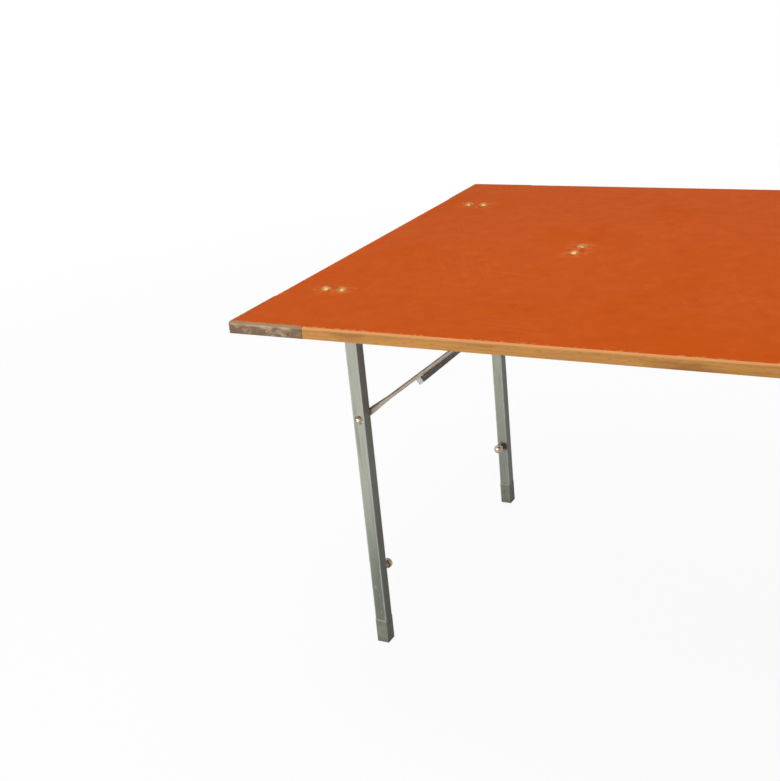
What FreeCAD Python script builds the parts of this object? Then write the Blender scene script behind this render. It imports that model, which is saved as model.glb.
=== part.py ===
"""Folding trestle table: a laminated top with wood edges on two folding pairs of square tube legs.

Frame: millimetres, +Z up, +X along the table. The origin is on the floor under the middle of the top.
Left is -X, right is +X, front is -Y, back is +Y.
"""

import FreeCAD, Part
import Sketcher
import os
import re

# Driving sizes, each a cell of the sheet with this alias
SIZES = {
    # Top
    "table_length": 2000.0,
    "table_width": 1060.0,
    "table_height": 740.0,
    "top_thickness": 22.0,
    "laminate": 0.8,
    "lipping_width": 12.0,
    "arris_radius": 4.0,
    "top_corner": 5.0,
    # Steel corner guards
    "guard_return": 148.0,
    "guard_sheet": 1.2,
    "guard_margin": 1.0,
    "guard_screw_pitch": 40.0,
    "guard_screw_shank": 3.2,
    "guard_screw_length": 10.0,
    "guard_screw_head": 7.0,
    "guard_screw_dome": 1.4,
    # Legs
    "leg_side": 25.0,
    "leg_wall": 1.5,
    "leg_corner": 2.0,
    "leg_end_inset": 124.0,
    "leg_edge_inset": 205.0,
    "hinge_drop": 30.0,
    "brace_drop": 200.0,
    # Telescopic feet
    "foot_height": 52.0,
    "foot_wall": 2.3,
    "foot_base": 6.0,
    "foot_round": 1.5,
    "foot_gap": 0.3,
    "inner_gap": 0.3,
    "inner_wall": 1.5,
    "inner_length": 330.0,
    "inner_corner": 1.2,
    # Clamp screws of the feet
    "clamp_height": 155.0,
    "clamp_boss_diameter": 15.0,
    "clamp_boss_length": 8.0,
    "clamp_shank": 8.0,
    "clamp_tip_gap": 0.2,
    "clamp_stem": 8.0,
    "knob_diameter": 20.0,
    "knob_length": 9.0,
    "knob_dome": 5.0,
    "knob_collar": 12.0,
    "knob_groove": 4.0,
    # Leg brackets
    "bracket_sheet": 3.0,
    "bracket_side_gap": 0.5,
    "bracket_outer_reach": 62.0,
    "bracket_lip": 9.0,
    "bracket_bend": 3.0,
    "lug_radius": 13.0,
    "bracket_bolt_first": 47.0,
    "bracket_bolt_second": 13.0,
    # Bolts
    "bolt_diameter": 8.0,
    "bolt_clearance": 0.1,
    "bolt_head": 20.0,
    "bolt_dome": 5.0,
    "bolt_spare": 1.5,
    "leg_bolt_head": 18.0,
    "nut_flats": 13.0,
    "nut_height": 6.5,
    "washer_diameter": 16.0,
    "washer_height": 1.6,
    # Brace
    "keeper_inset": 452.0,
    "keeper_reach": 46.0,
    "keeper_drop": 25.0,
    "bar_diameter": 8.0,
    "bar_height": 13.0,
    "bar_thickness": 3.9,
    "bar_tab": 20.0,
    "bar_lead": 4.0,
    "bar_taper": 36.0,
    "bar_gap": 0.5,
    "crossbar_side": 12.0,
    "crossbar_edge": 1.0,
    "crossbar_place": 101.0,
    "crossbar_overhang": 9.0,
    "rod_diameter": 12.0,
    "tenon_diameter": 8.0,
    "tenon_proud": 1.2,
    "rod_shoulder_gap": 0.2,
    # Brace keeper under the top
    "keeper_bolt_pitch": 45.0,
    "keeper_plate": 3.0,
    "keeper_length": 74.0,
    "keeper_width": 36.0,
    "keeper_corner": 6.0,
    "keeper_gap": 20.0,
    "keeper_arm_gap": 3.0,
    "keeper_back": 14.0,
    "keeper_front": 11.0,
    "keeper_flange": 9.0,
    "keeper_lip": 13.0,
    "keeper_bevel": 8.0,
    "slot_clearance": 0.5,
    # Catch spring in the keeper
    "spring_sheet": 1.0,
    "spring_width": 14.0,
    "spring_tab": 10.0,
    "spring_play": 0.4,
    "spring_lead": 5.0,
    "spring_flare": 3.5,
    # Overrun of every cutting tool
    "overrun": 2.0,
}

# Names that the expressions below share
HALF_LENGTH = "table_length/2"
HALF_WIDTH = "table_width/2"
UNDERSIDE = "(table_height - top_thickness)"
LEG_X = "(table_length/2 - leg_end_inset)"
LEG_Y = "(table_width/2 - leg_edge_inset)"
HINGE_Z = "(table_height - top_thickness - hinge_drop)"
BRACE_Z = "(table_height - top_thickness - hinge_drop - brace_drop)"
KEEPER_X = "(table_length/2 - keeper_inset)"
LIP_HEIGHT = "(top_thickness - 2*laminate)"
GUARD_HEIGHT = "(top_thickness - laminate - arris_radius - guard_margin)"
BORE = "(bolt_diameter/2 + bolt_clearance)"
INNER_SIDE = "(leg_side - 2*leg_wall - 2*inner_gap)"
FOOT_SIDE = "(leg_side - 2*leg_wall - 2*inner_gap + 2*foot_wall)"
BRACKET_GAP = "(leg_side + 2*bracket_side_gap)"
BRACKET_WIDTH = "(leg_side + 2*bracket_side_gap + 2*bracket_sheet)"
HOOK_X = "(table_length/2 - keeper_inset + keeper_reach)"
BRACE_RUN = "(keeper_inset - keeper_reach - leg_end_inset)"
BRACE_RISE = "(hinge_drop + brace_drop - keeper_drop)"
BRACE_LENGTH = f"sqrt({BRACE_RUN}^2 + {BRACE_RISE}^2)"
BRACE_ANGLE = f"atan({BRACE_RISE}/{BRACE_RUN})"
TAB_V = "(table_width/2 - leg_edge_inset - leg_side/2 - bar_gap - bar_thickness/2)"
APEX_V = "(keeper_gap/2 + keeper_plate + keeper_arm_gap + bar_thickness/2)"
FOLD_ANGLE = 90.0

doc = FreeCAD.newDocument("folding_table")
sheet = doc.addObject("Spreadsheet::Sheet", "dims")
nodes = []


def fill_sheet():
    """Writes each driving size into its own cell and names the cell."""
    for row, (alias, value) in enumerate(SIZES.items(), start=1):
        sheet.set(f"A{row}", alias)
        sheet.set(f"B{row}", str(value))
        sheet.setAlias(f"B{row}", alias)
    doc.recompute()


def cells(text):
    """The expression with each size's name pointing at its cell."""
    return re.sub(r"[a-z][a-z_]*", lambda word: f"dims.{word[0]}" if word[0] in SIZES else word[0], text)


def value_of(text):
    """The number that an expression of sizes stands for."""
    number = sheet.evalExpression(cells(text))
    return float(getattr(number, "Value", number))


def bind(obj, **expressions):
    """Binds properties to expressions of the sizes. A double underscore in a name stands for a dot."""
    for name, text in expressions.items():
        obj.setExpression(name.replace("__", "."), cells(text))
    return obj


def move(obj, x="0", y="0", z="0"):
    """Binds the object's place."""
    return bind(obj, Placement__Base__x=x, Placement__Base__y=y, Placement__Base__z=z)


def turn(obj, axis, angle):
    """Turns the object about an axis through its own origin by a fixed angle in degrees."""
    obj.Placement.Rotation = FreeCAD.Rotation(FreeCAD.Vector(*axis), angle)
    return obj


def node(obj, name):
    """Marks an object as a sub-part of the table, with the name of its file."""
    obj.Label = name
    nodes.append(obj)
    return obj


def block(x_size, y_size, z_size, x="0", y="0", z="0"):
    """A box whose low corner is at x, y, z."""
    solid = bind(doc.addObject("Part::Box", "Block"), Length=x_size, Width=y_size, Height=z_size)
    return move(solid, x, y, z)


def centred(x_size, y_size, z_size, z="0", x="0", y="0"):
    """A box standing on z with x and y through its middle."""
    return block(x_size, y_size, z_size, f"{x} - ({x_size})/2", f"{y} - ({y_size})/2", z)


def rod(radius, length, x="0", y="0", z="0", axis="z"):
    """A cylinder that starts at x, y, z and runs along +X, +Y or +Z."""
    solid = bind(doc.addObject("Part::Cylinder", "Rod"), Radius=radius, Height=length)
    aims = {"x": ((0, 1, 0), 90), "y": ((1, 0, 0), -90), "z": ((0, 0, 1), 0)}
    turn(solid, *aims[axis])
    return move(solid, x, y, z)


def dome(diameter, height, z="0"):
    """A shallow dome that stands on z, a slice of a sphere."""
    sphere_radius = f"(({diameter})^2/4 + ({height})^2)/(2*({height}))"
    cap = doc.addObject("Part::Sphere", "Dome")
    bind(cap, Radius=sphere_radius, Angle1=f"asin(({sphere_radius} - ({height}))/({sphere_radius}))")
    return move(cap, z=f"{z} + ({height}) - {sphere_radius}")


def joined(*solids):
    """One solid made of several that touch."""
    result = doc.addObject("Part::MultiFuse", "Joined")
    result.Shapes = list(solids)
    result.Refine = True
    return result


def group(solids):
    """Separate solids kept together in one object."""
    result = doc.addObject("Part::Compound", "Group")
    result.Links = list(solids)
    return result


def cut(base, *tools):
    """The base without the tools, which don't touch one another."""
    result = doc.addObject("Part::Cut", "Cut")
    result.Base = base
    result.Tool = tools[0] if len(tools) == 1 else group(tools)
    return result


def upright(edge):
    """Whether an edge runs up rather than along."""
    return edge.BoundBox.ZLength > edge.BoundBox.XLength + edge.BoundBox.YLength


def rounded(solid, radius, keep=upright):
    """The solid with the edges that keep picks rounded."""
    doc.recompute()
    result = doc.addObject("Part::Fillet", "Rounded")
    result.Base = solid
    size = value_of(radius)
    edges = enumerate(solid.Shape.Edges, start=1)
    result.Edges = [(number, size, size) for number, edge in edges if keep(edge)]
    return result


def common(base, tool):
    """What two solids share."""
    result = doc.addObject("Part::Common", "Common")
    result.Base = base
    result.Tool = tool
    return result


def origin_plane(body, role):
    """One of the body's own origin planes."""
    return next(plane for plane in body.Origin.OriginFeatures if plane.Role == role)


def outline(body, plane, corners, arcs=None):
    """A closed sketch through corners given as pairs of expressions.

    arcs maps a side's number to the expressions of its radius and centre; other sides are straight.
    """
    arcs = arcs or {}
    sketch = body.newObject("Sketcher::SketchObject", "Outline")
    sketch.AttachmentSupport = (origin_plane(body, plane), [""])
    sketch.MapMode = "FlatFace"
    points = [FreeCAD.Vector(value_of(x), value_of(y), 0) for x, y in corners]
    starts = []
    for side, point in enumerate(points):
        following = points[(side + 1) % len(points)]
        if side not in arcs:
            sketch.addGeometry(Part.LineSegment(point, following))
            starts.append((1, 2))
            continue
        radius, centre_x, centre_y = arcs[side]
        centre = FreeCAD.Vector(value_of(centre_x), value_of(centre_y), 0)
        outward = (point + following) * 0.5 - centre
        middle = centre + outward.normalize() * value_of(radius)
        arc = Part.Arc(point, middle, following)
        number = sketch.addGeometry(arc)
        first = sketch.Geometry[number].StartPoint
        starts.append((1, 2) if first.distanceToPoint(point) < first.distanceToPoint(following) else (2, 1))
    for side in range(len(points)):
        before = (side - 1) % len(points)
        corner = Sketcher.Constraint("Coincident", before, starts[before][1], side, starts[side][0])
        sketch.addConstraint(corner)
    for side, (x, y) in enumerate(corners):
        for direction, text in (("DistanceX", x), ("DistanceY", y)):
            place = Sketcher.Constraint(direction, -1, 1, side, starts[side][0], value_of(text))
            number = sketch.addConstraint(place)
            sketch.setExpression(f"Constraints[{number}]", cells(text))
    for side, (radius, _, _) in arcs.items():
        number = sketch.addConstraint(Sketcher.Constraint("Radius", side, value_of(radius)))
        sketch.setExpression(f"Constraints[{number}]", cells(radius))
    return sketch


def padded(plane, corners, thickness, arcs=None):
    """A body padded evenly to both sides of an outline on one of its origin planes."""
    body = doc.addObject("PartDesign::Body", "Pressing")
    sketch = outline(body, plane, corners, arcs)
    pad = body.newObject("PartDesign::Pad", "Pad")
    pad.Profile = sketch
    pad.Midplane = True
    bind(pad, Length=thickness)
    sketch.Visibility = False
    return body


def routed_edge(grow="0"):
    """The top's outline between the laminates, its corners and upper arris rounded, grown outwards."""
    low = f"({UNDERSIDE} + laminate)"
    height = f"({LIP_HEIGHT} + ({grow}))"
    slab = centred(f"table_length + 2*({grow})", f"table_width + 2*({grow})", height, low)
    sides = rounded(slab, f"top_corner + {grow}")
    middle = value_of(f"{low} + {height}/2")
    return rounded(sides, f"arris_radius + {grow}", lambda edge: edge.CenterOfMass.z > middle)


def lippings():
    """The four wood edge strips: the long ones run the whole length, the ends fit between them."""
    edge = routed_edge()
    bore = "(guard_screw_shank/2 + bolt_clearance)"
    depth = "(guard_screw_length + overrun)"
    low = f"({UNDERSIDE} + laminate)"
    between = "(table_width - 2*lipping_width)"
    for name, sign, start in (("front", "-", " - overrun"), ("back", "", " - guard_screw_length")):
        middle = f"{sign}({HALF_WIDTH} - lipping_width/2)"
        strip = common(centred("table_length", "lipping_width", LIP_HEIGHT, low, y=middle), edge)
        face = f"{sign}{HALF_WIDTH}{start}"
        holes = [rod(bore, depth, x, face, screw_height(), "y") for x in screw_places(HALF_LENGTH)]
        node(cut(strip, *holes), f"edge_lipping_{name}")
    for name, sign, start in (("left", "-", " - overrun"), ("right", "", " - guard_screw_length")):
        middle = f"{sign}({HALF_LENGTH} - lipping_width/2)"
        strip = common(centred("lipping_width", between, LIP_HEIGHT, low, x=middle), edge)
        face = f"{sign}{HALF_LENGTH}{start}"
        holes = [rod(bore, depth, face, y, screw_height(), "x") for y in screw_places(HALF_WIDTH)]
        node(cut(strip, *holes), f"edge_lipping_{name}")


def screw_places(half):
    """The guard screws' places along an edge, three from each corner."""
    return [f"{sign}({half} - {count}*guard_screw_pitch)" for sign in ("-", "") for count in (1, 2, 3)]


def screw_height():
    """The height of the guard screws, at the middle of the guard's flat face."""
    return f"{UNDERSIDE} + guard_margin + {GUARD_HEIGHT}/2"


def bolt_places():
    """The places of the bolts through the top: two at each leg bracket and two at each brace keeper."""
    places = []
    for side in ("-", ""):
        for edge in ("-", ""):
            for inset in ("bracket_bolt_first", "bracket_bolt_second"):
                places.append((f"{side}({LEG_X} + {inset})", f"{edge}{LEG_Y}"))
            places.append((f"{side}{KEEPER_X}", f"{edge}keeper_bolt_pitch/2"))
    return places


def top_panel():
    """The core board and its two laminate sheets, drilled for the bolts."""
    core_length = "(table_length - 2*lipping_width)"
    core_width = "(table_width - 2*lipping_width)"
    sheet_length = "(table_length - 2*arris_radius)"
    sheet_width = "(table_width - 2*arris_radius)"
    layers = (
        ("table_core", core_length, core_width, f"{UNDERSIDE} + laminate", LIP_HEIGHT),
        ("top_laminate", sheet_length, sheet_width, "table_height - laminate", "laminate"),
        ("underside_laminate", sheet_length, sheet_width, UNDERSIDE, "laminate"),
    )
    for name, length, width, low, thickness in layers:
        holes = []
        for x, y in bolt_places():
            holes.append(rod(BORE, f"{thickness} + 2*overrun", x, y, f"{low} - overrun"))
        board = centred(length, width, thickness, low)
        if name != "table_core":
            board = rounded(board, "top_corner - arris_radius")
        node(cut(board, *holes), name)


def corner_guards():
    """The steel strip bent round each corner and over its arris, and all their screws."""
    low = f"({UNDERSIDE} + guard_margin)"
    tall = "(2*top_thickness)"
    flat_length = "(table_length - 2*arris_radius)"
    flat_width = "(table_width - 2*arris_radius)"
    inside = joined(routed_edge(), centred(flat_length, flat_width, tall, low))
    skin = cut(routed_edge("guard_sheet"), inside)
    span = "(guard_return + guard_sheet)"
    bore = "(guard_screw_shank/2 + bolt_clearance)"
    depth = "(guard_sheet + 2*overrun)"
    for end, side in (("left", "-"), ("right", "")):
        for depth_name, edge in (("front", "-"), ("back", "")):
            middle_x = f"{side}({HALF_LENGTH} + guard_sheet - {span}/2)"
            middle_y = f"{edge}({HALF_WIDTH} + guard_sheet - {span}/2)"
            strip = common(skin, centred(span, span, tall, low, middle_x, middle_y))
            face_x = f"{side}({HALF_LENGTH} + guard_sheet/2) - {depth}/2"
            face_y = f"{edge}({HALF_WIDTH} + guard_sheet/2) - {depth}/2"
            holes = []
            for count in (1, 2, 3):
                x = f"{side}({HALF_LENGTH} - {count}*guard_screw_pitch)"
                y = f"{edge}({HALF_WIDTH} - {count}*guard_screw_pitch)"
                holes.append(rod(bore, depth, x, face_y, screw_height(), "y"))
                holes.append(rod(bore, depth, face_x, y, screw_height(), "x"))
            node(cut(strip, *holes), f"corner_guard_{end}_{depth_name}")
    screws = []
    for x in screw_places(HALF_LENGTH):
        screws += [guard_screw(x, f"-{HALF_WIDTH} - guard_sheet", (1, 0, 0), 90)]
        screws += [guard_screw(x, f"{HALF_WIDTH} + guard_sheet", (1, 0, 0), -90)]
    for y in screw_places(HALF_WIDTH):
        screws += [guard_screw(f"-{HALF_LENGTH} - guard_sheet", y, (0, 1, 0), -90)]
        screws += [guard_screw(f"{HALF_LENGTH} + guard_sheet", y, (0, 1, 0), 90)]
    node(group(screws), "guard_screws")


def guard_screw(x, y, axis, angle):
    """A domed wood screw whose head's flat underside is at x, y."""
    shank = rod("guard_screw_shank/2", "guard_screw_length", z="-guard_screw_length")
    screw = joined(dome("guard_screw_head", "guard_screw_dome"), shank)
    return move(turn(screw, axis, angle), x, y, screw_height())


def bolt(head, grip):
    """A domed bolt with the flat of its head on z = 0 and its shank pointing down."""
    return joined(dome(head, "bolt_dome"), rod("bolt_diameter/2", grip, z=f"-({grip})"))


def nut():
    """A hexagon nut that stands on z = 0."""
    prism = doc.addObject("Part::Prism", "Hexagon")
    prism.Polygon = 6
    bind(prism, Circumradius="nut_flats/sqrt(3)", Height="nut_height")
    return cut(prism, rod(BORE, "nut_height + 2*overrun", z="-overrun"))


def washer():
    """A flat washer that stands on z = 0."""
    disc = rod("washer_diameter/2", "washer_height")
    return cut(disc, rod(BORE, "washer_height + 2*overrun", z="-overrun"))


def top_fasteners():
    """The bolts through the top, with their washers and nuts under the brackets and keepers."""
    seat = f"({UNDERSIDE} - bracket_sheet)"
    grip = "(top_thickness + bracket_sheet + washer_height + nut_height + bolt_spare)"
    bolts = [move(bolt("bolt_head", grip), x, y, "table_height") for x, y in bolt_places()]
    washers = [move(washer(), x, y, f"{seat} - washer_height") for x, y in bolt_places()]
    nuts = [move(nut(), x, y, f"{seat} - washer_height - nut_height") for x, y in bolt_places()]
    node(group(bolts), "top_bolts")
    node(group(washers), "top_washers")
    node(group(nuts), "top_nuts")


def leg_bracket(name, side, edge, angle):
    """A pressed channel under the top whose cheeks carry one leg's hinge bolt."""
    tangent = "sqrt((bracket_outer_reach)^2 + (hinge_drop - bracket_lip)^2)"
    lean = f"(asin(lug_radius/{tangent}) + atan((hinge_drop - bracket_lip)/bracket_outer_reach))"
    cheek = [
        ("-bracket_outer_reach", "0"),
        ("lug_radius", "0"),
        ("lug_radius", "-hinge_drop"),
        (f"-lug_radius*sin({lean})", f"-hinge_drop - lug_radius*cos({lean})"),
        ("-bracket_outer_reach", "-bracket_lip"),
    ]
    sheet_low = -value_of("bracket_sheet")
    channel = rounded(
        padded("XZ_Plane", cheek, BRACKET_WIDTH, {2: ("lug_radius", "0", "-hinge_drop")}),
        "bracket_bend",
        lambda edge: edge.BoundBox.XLength > edge.BoundBox.YLength and edge.CenterOfMass.z > sheet_low,
    )
    reach = "(bracket_outer_reach + lug_radius + 2*overrun)"
    inside_low = "(hinge_drop + lug_radius + overrun)"
    inside = block(
        reach,
        BRACKET_GAP,
        f"{inside_low} - bracket_sheet",
        "-bracket_outer_reach - overrun",
        f"-{BRACKET_GAP}/2",
        f"-{inside_low}",
    )
    bolts = ["bracket_bolt_first", "bracket_bolt_second"]
    holes = [rod(BORE, "bracket_sheet + 2*overrun", f"-{x}", "0", "-bracket_sheet - overrun") for x in bolts]
    holes.append(
        rod(BORE, f"{BRACKET_WIDTH} + 2*overrun", "0", f"-{BRACKET_WIDTH}/2 - overrun", "-hinge_drop", "y")
    )
    bracket = cut(cut(channel, inside), *holes)
    turn(bracket, (0, 0, 1), angle)
    node(move(bracket, f"{side}{LEG_X}", f"{edge}{LEG_Y}", UNDERSIDE), f"leg_bracket_{name}")


def tube(side, wall, corner, low, length):
    """A square tube with rounded edges that stands on low, about the Z axis."""
    shell = rounded(centred(side, side, length, low), corner)
    bore = f"({side} - 2*{wall})"
    return cut(shell, centred(bore, bore, f"{length} + 2*overrun", f"{low} - overrun"))


def leg(name, side, edge, angle):
    """A leg's outer tube, drilled for its hinge bolt, brace bolt and clamp screw. Its inner side is +Y."""
    low = "(foot_height + foot_gap)"
    length = f"({HINGE_Z} + leg_side/2 - {low})"
    through = "leg_side + 2*overrun"
    holes = [rod(BORE, through, "0", "-leg_side/2 - overrun", z, "y") for z in (HINGE_Z, BRACE_Z)]
    holes.append(
        rod("clamp_shank/2 + bolt_clearance", "leg_side/2 + overrun", "0", "0", "clamp_height", "y")
    )
    outer = cut(tube("leg_side", "leg_wall", "leg_corner", low, length), *holes)
    turn(outer, (0, 0, 1), angle)
    node(move(outer, f"{side}{LEG_X}", f"{edge}{LEG_Y}"), f"leg_tube_{name}")


def foot(name, side, edge, angle):
    """A leg's sliding inner tube and the moulded foot on its lower end."""
    inner = tube(INNER_SIDE, "inner_wall", "inner_corner", "foot_base", "inner_length")
    sole = value_of("foot_base")
    sides = rounded(centred(FOOT_SIDE, FOOT_SIDE, "foot_height"), "leg_corner")
    cap = rounded(sides, "foot_round", lambda edge: edge.CenterOfMass.z < sole)
    socket = rounded(centred(INNER_SIDE, INNER_SIDE, "foot_height", "foot_base"), "inner_corner")
    for solid, label in ((inner, "foot_tube"), (cut(cap, socket), "foot_cap")):
        turn(solid, (0, 0, 1), angle)
        node(move(solid, f"{side}{LEG_X}", f"{edge}{LEG_Y}"), f"{label}_{name}")


def clamp_boss(side, edge, angle):
    """The round boss welded on a leg's inner face, which the clamp screw turns in."""
    ring = rod("clamp_boss_diameter/2", "clamp_boss_length", "0", "leg_side/2", "clamp_height", "y")
    bore = "clamp_shank/2 + bolt_clearance"
    hole = rod(bore, "clamp_boss_length + 2*overrun", "0", "leg_side/2 - overrun", "clamp_height", "y")
    boss = cut(ring, hole)
    turn(boss, (0, 0, 1), angle)
    return move(boss, f"{side}{LEG_X}", f"{edge}{LEG_Y}")


def clamp_screw(name, side, edge, angle):
    """A turned thumb screw: shank, collar, knob with a finger groove, and domed end. It points along +Z."""
    tip = f"({INNER_SIDE}/2 + clamp_tip_gap)"
    collar_low = "(leg_side/2 + clamp_boss_length + clamp_stem)"
    knob_low = f"({collar_low} + knob_groove)"
    shank = rod("clamp_shank/2", f"{collar_low} - {tip}", z=tip)
    collar = rod("knob_collar/2", "knob_groove", z=collar_low)
    grip = rod("knob_diameter/2", "knob_length", z=knob_low)
    crown = dome("knob_diameter", "knob_dome", f"{knob_low} + knob_length")
    screw = joined(shank, collar, grip, crown)
    turn(screw, (1, 0, 0), 90 if angle else -90)
    node(move(screw, f"{side}{LEG_X}", f"{edge}{LEG_Y}", "clamp_height"), f"clamp_screw_{name}")


def cross_bolt(side, edge, inward, z, head, clamp_width, outer_half):
    """A bolt and nut across a leg, the head on the table's outer side. inward is +1 where that is -Y."""
    sign = "-" if inward > 0 else ""
    back = "" if inward > 0 else "-"
    grip = f"({clamp_width} + nut_height + bolt_spare)"
    shaft = turn(bolt(head, grip), (1, 0, 0), 90 * inward)
    move(shaft, f"{side}{LEG_X}", f"{edge}{LEG_Y} + {sign}1*({outer_half})", z)
    lock = turn(nut(), (1, 0, 0), -90 * inward)
    move(lock, f"{side}{LEG_X}", f"{edge}{LEG_Y} + {back}1*({clamp_width} - ({outer_half}))", z)
    return shaft, lock


def leg_fasteners():
    """The hinge bolts, which stay in the brackets, and the brace bolts, which stay in the legs."""
    hinges = []
    for label, side in (("left", "-"), ("right", "")):
        braces = []
        for edge, inward in (("-", 1), ("", -1)):
            hinges.append(
                cross_bolt(side, edge, inward, HINGE_Z, "leg_bolt_head", BRACKET_WIDTH, f"{BRACKET_WIDTH}/2")
            )
            width = "(leg_side + 2*bar_gap + bar_thickness)"
            braces.append(cross_bolt(side, edge, inward, BRACE_Z, "leg_bolt_head", width, "leg_side/2"))
        node(group([pair[0] for pair in braces]), f"brace_bolts_{label}")
        node(group([pair[1] for pair in braces]), f"brace_nuts_{label}")
        node(group([clamp_boss(side, "-", 0), clamp_boss(side, "", 180)]), f"clamp_bosses_{label}")
    node(group([pair[0] for pair in hinges]), "hinge_bolts")
    node(group([pair[1] for pair in hinges]), "hinge_nuts")


def tilted(solid, side):
    """Places a piece of a brace, drawn with X from the legs to the keeper, at the brace's slope."""
    solid.Placement.Rotation = FreeCAD.Rotation(FreeCAD.Vector(0, 1, 0), FOLD_ANGLE)
    bind(solid, Placement__Rotation__Angle=f"-{BRACE_ANGLE}" if side else f"180deg + {BRACE_ANGLE}")
    return move(solid, f"{side}{LEG_X}", "0", BRACE_Z)


def swung(solid, angle, x="0", y="0"):
    """A solid turned about the Z axis by an expression, then moved."""
    holder = turn(group([solid]), (0, 0, 1), FOLD_ANGLE)
    bind(holder, Placement__Rotation__Angle=angle)
    return move(holder, x, y)


def flattened_end(slope, bore):
    """A brace arm's end, hammered flat, drilled about the origin and bent to the arm's slope."""
    half = "bar_thickness/2"
    shift = f"{half}*tan({slope}/2)"
    tip_x = f"bar_tab + bar_lead*cos({slope})"
    tip_y = f"bar_lead*sin({slope})"
    plan = [
        ("-bar_height/2", f"-{half}"),
        (f"bar_tab + {shift}", f"-{half}"),
        (f"{tip_x} + {half}*sin({slope})", f"{tip_y} - {half}*cos({slope})"),
        (f"{tip_x} - {half}*sin({slope})", f"{tip_y} + {half}*cos({slope})"),
        (f"bar_tab - {shift}", half),
        ("-bar_height/2", half),
    ]
    strip = padded("XY_Plane", plan, "bar_height")
    span = "2*(bar_tab + bar_lead)"
    nose = rod("bar_height/2", span, "0", f"-({span})/2", "0", "y")
    tongue = block(span, span, "bar_height", "0", f"-({span})/2", "-bar_height/2")
    hole = rod(bore, "2*bar_thickness", "0", "-bar_thickness", "0", "y")
    return cut(common(strip, joined(nose, tongue)), hole)


def fishtail():
    """The stretch in which a brace arm goes from flat to round, along +X."""
    body = doc.addObject("PartDesign::Body", "Fishtail")
    corner = "bar_diameter/2/sqrt(2)"
    sections = []
    for y, z in (("bar_thickness/2", "bar_height/2"), (corner, corner)):
        corners = [(f"-{y}", f"-{z}"), (y, f"-{z}"), (y, z), (f"-{y}", z)]
        arcs = {number: ("bar_diameter/2", "0", "0") for number in range(len(corners)) if z == corner}
        sections.append(outline(body, "YZ_Plane", corners, arcs))
    bind(sections[1], AttachmentOffset__Base__z="bar_taper")
    loft = body.newObject("PartDesign::AdditiveLoft", "Loft")
    loft.Profile = sections[0]
    loft.Sections = sections[1:]
    body.Tip = loft
    return body


def brace_arm(name, side, edge):
    """A round bar with flattened ends, from a leg's inner face to the rod at the middle."""
    tab_v = f"{edge}{TAB_V}"
    apex_v = f"{edge}{APEX_V}"
    forward = f"({BRACE_LENGTH} - 2*bar_tab)"
    slope = f"atan((({apex_v}) - ({tab_v}))/{forward})"
    run = f"sqrt({forward}^2 + (({apex_v}) - ({tab_v}))^2)"
    tenon = "tenon_diameter/2 + bolt_clearance"
    taper_end = "(bar_lead + bar_taper)"
    length = f"({run} - 2*{taper_end})"
    parts = [swung(rod("bar_diameter/2", length, taper_end, axis="x"), slope, "bar_tab", tab_v)]
    ends = (
        (BORE, "0deg", "0", "bar_tab", tab_v),
        (tenon, "180deg", BRACE_LENGTH, f"{BRACE_LENGTH} - bar_tab", apex_v),
    )
    for bore, turned, eye, bend, y in ends:
        parts.append(swung(flattened_end(slope, bore), turned, eye, y))
        parts.append(swung(move(fishtail(), "bar_lead"), f"{slope} + {turned}", bend, y))
    node(tilted(joined(*parts), side), f"brace_arm_{name}")


def brace_middle(label, side):
    """The square crossbar welded under a brace's two arms, and the rod that joins them at the keeper."""
    share = f"(crossbar_place - bar_tab)/({BRACE_LENGTH} - 2*bar_tab)"
    half = f"({TAB_V} - ({TAB_V} - {APEX_V})*{share} + crossbar_overhang)"
    low = "-bar_diameter/2 - crossbar_side" if side else "bar_diameter/2"
    bar = centred("crossbar_side", f"2*{half}", "crossbar_side", low, "crossbar_place")
    eased = rounded(bar, "crossbar_edge", lambda edge: edge.BoundBox.YLength > value_of("crossbar_side"))
    node(tilted(eased, side), f"brace_crossbar_{label}")
    shoulder = f"({APEX_V} - bar_thickness/2 - rod_shoulder_gap)"
    end = f"({APEX_V} + bar_thickness/2 + tenon_proud)"
    body = rod("rod_diameter/2", f"2*{shoulder}", BRACE_LENGTH, f"-{shoulder}", "0", "y")
    tenons = rod("tenon_diameter/2", f"2*{end}", BRACE_LENGTH, f"-{end}", "0", "y")
    node(tilted(joined(body, tenons), side), f"brace_rod_{label}")


def exit_angle():
    """The slope at which a brace's rod first leaves its keeper as the legs fold, in degrees below level."""
    tilt = f"({BRACE_ANGLE}/{FOLD_ANGLE}deg)"
    across = f"brace_drop + {tilt}*{BRACE_RISE}"
    down = f"{tilt}*{BRACE_RUN}"
    return f"atan(({down})/({across}))"


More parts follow.
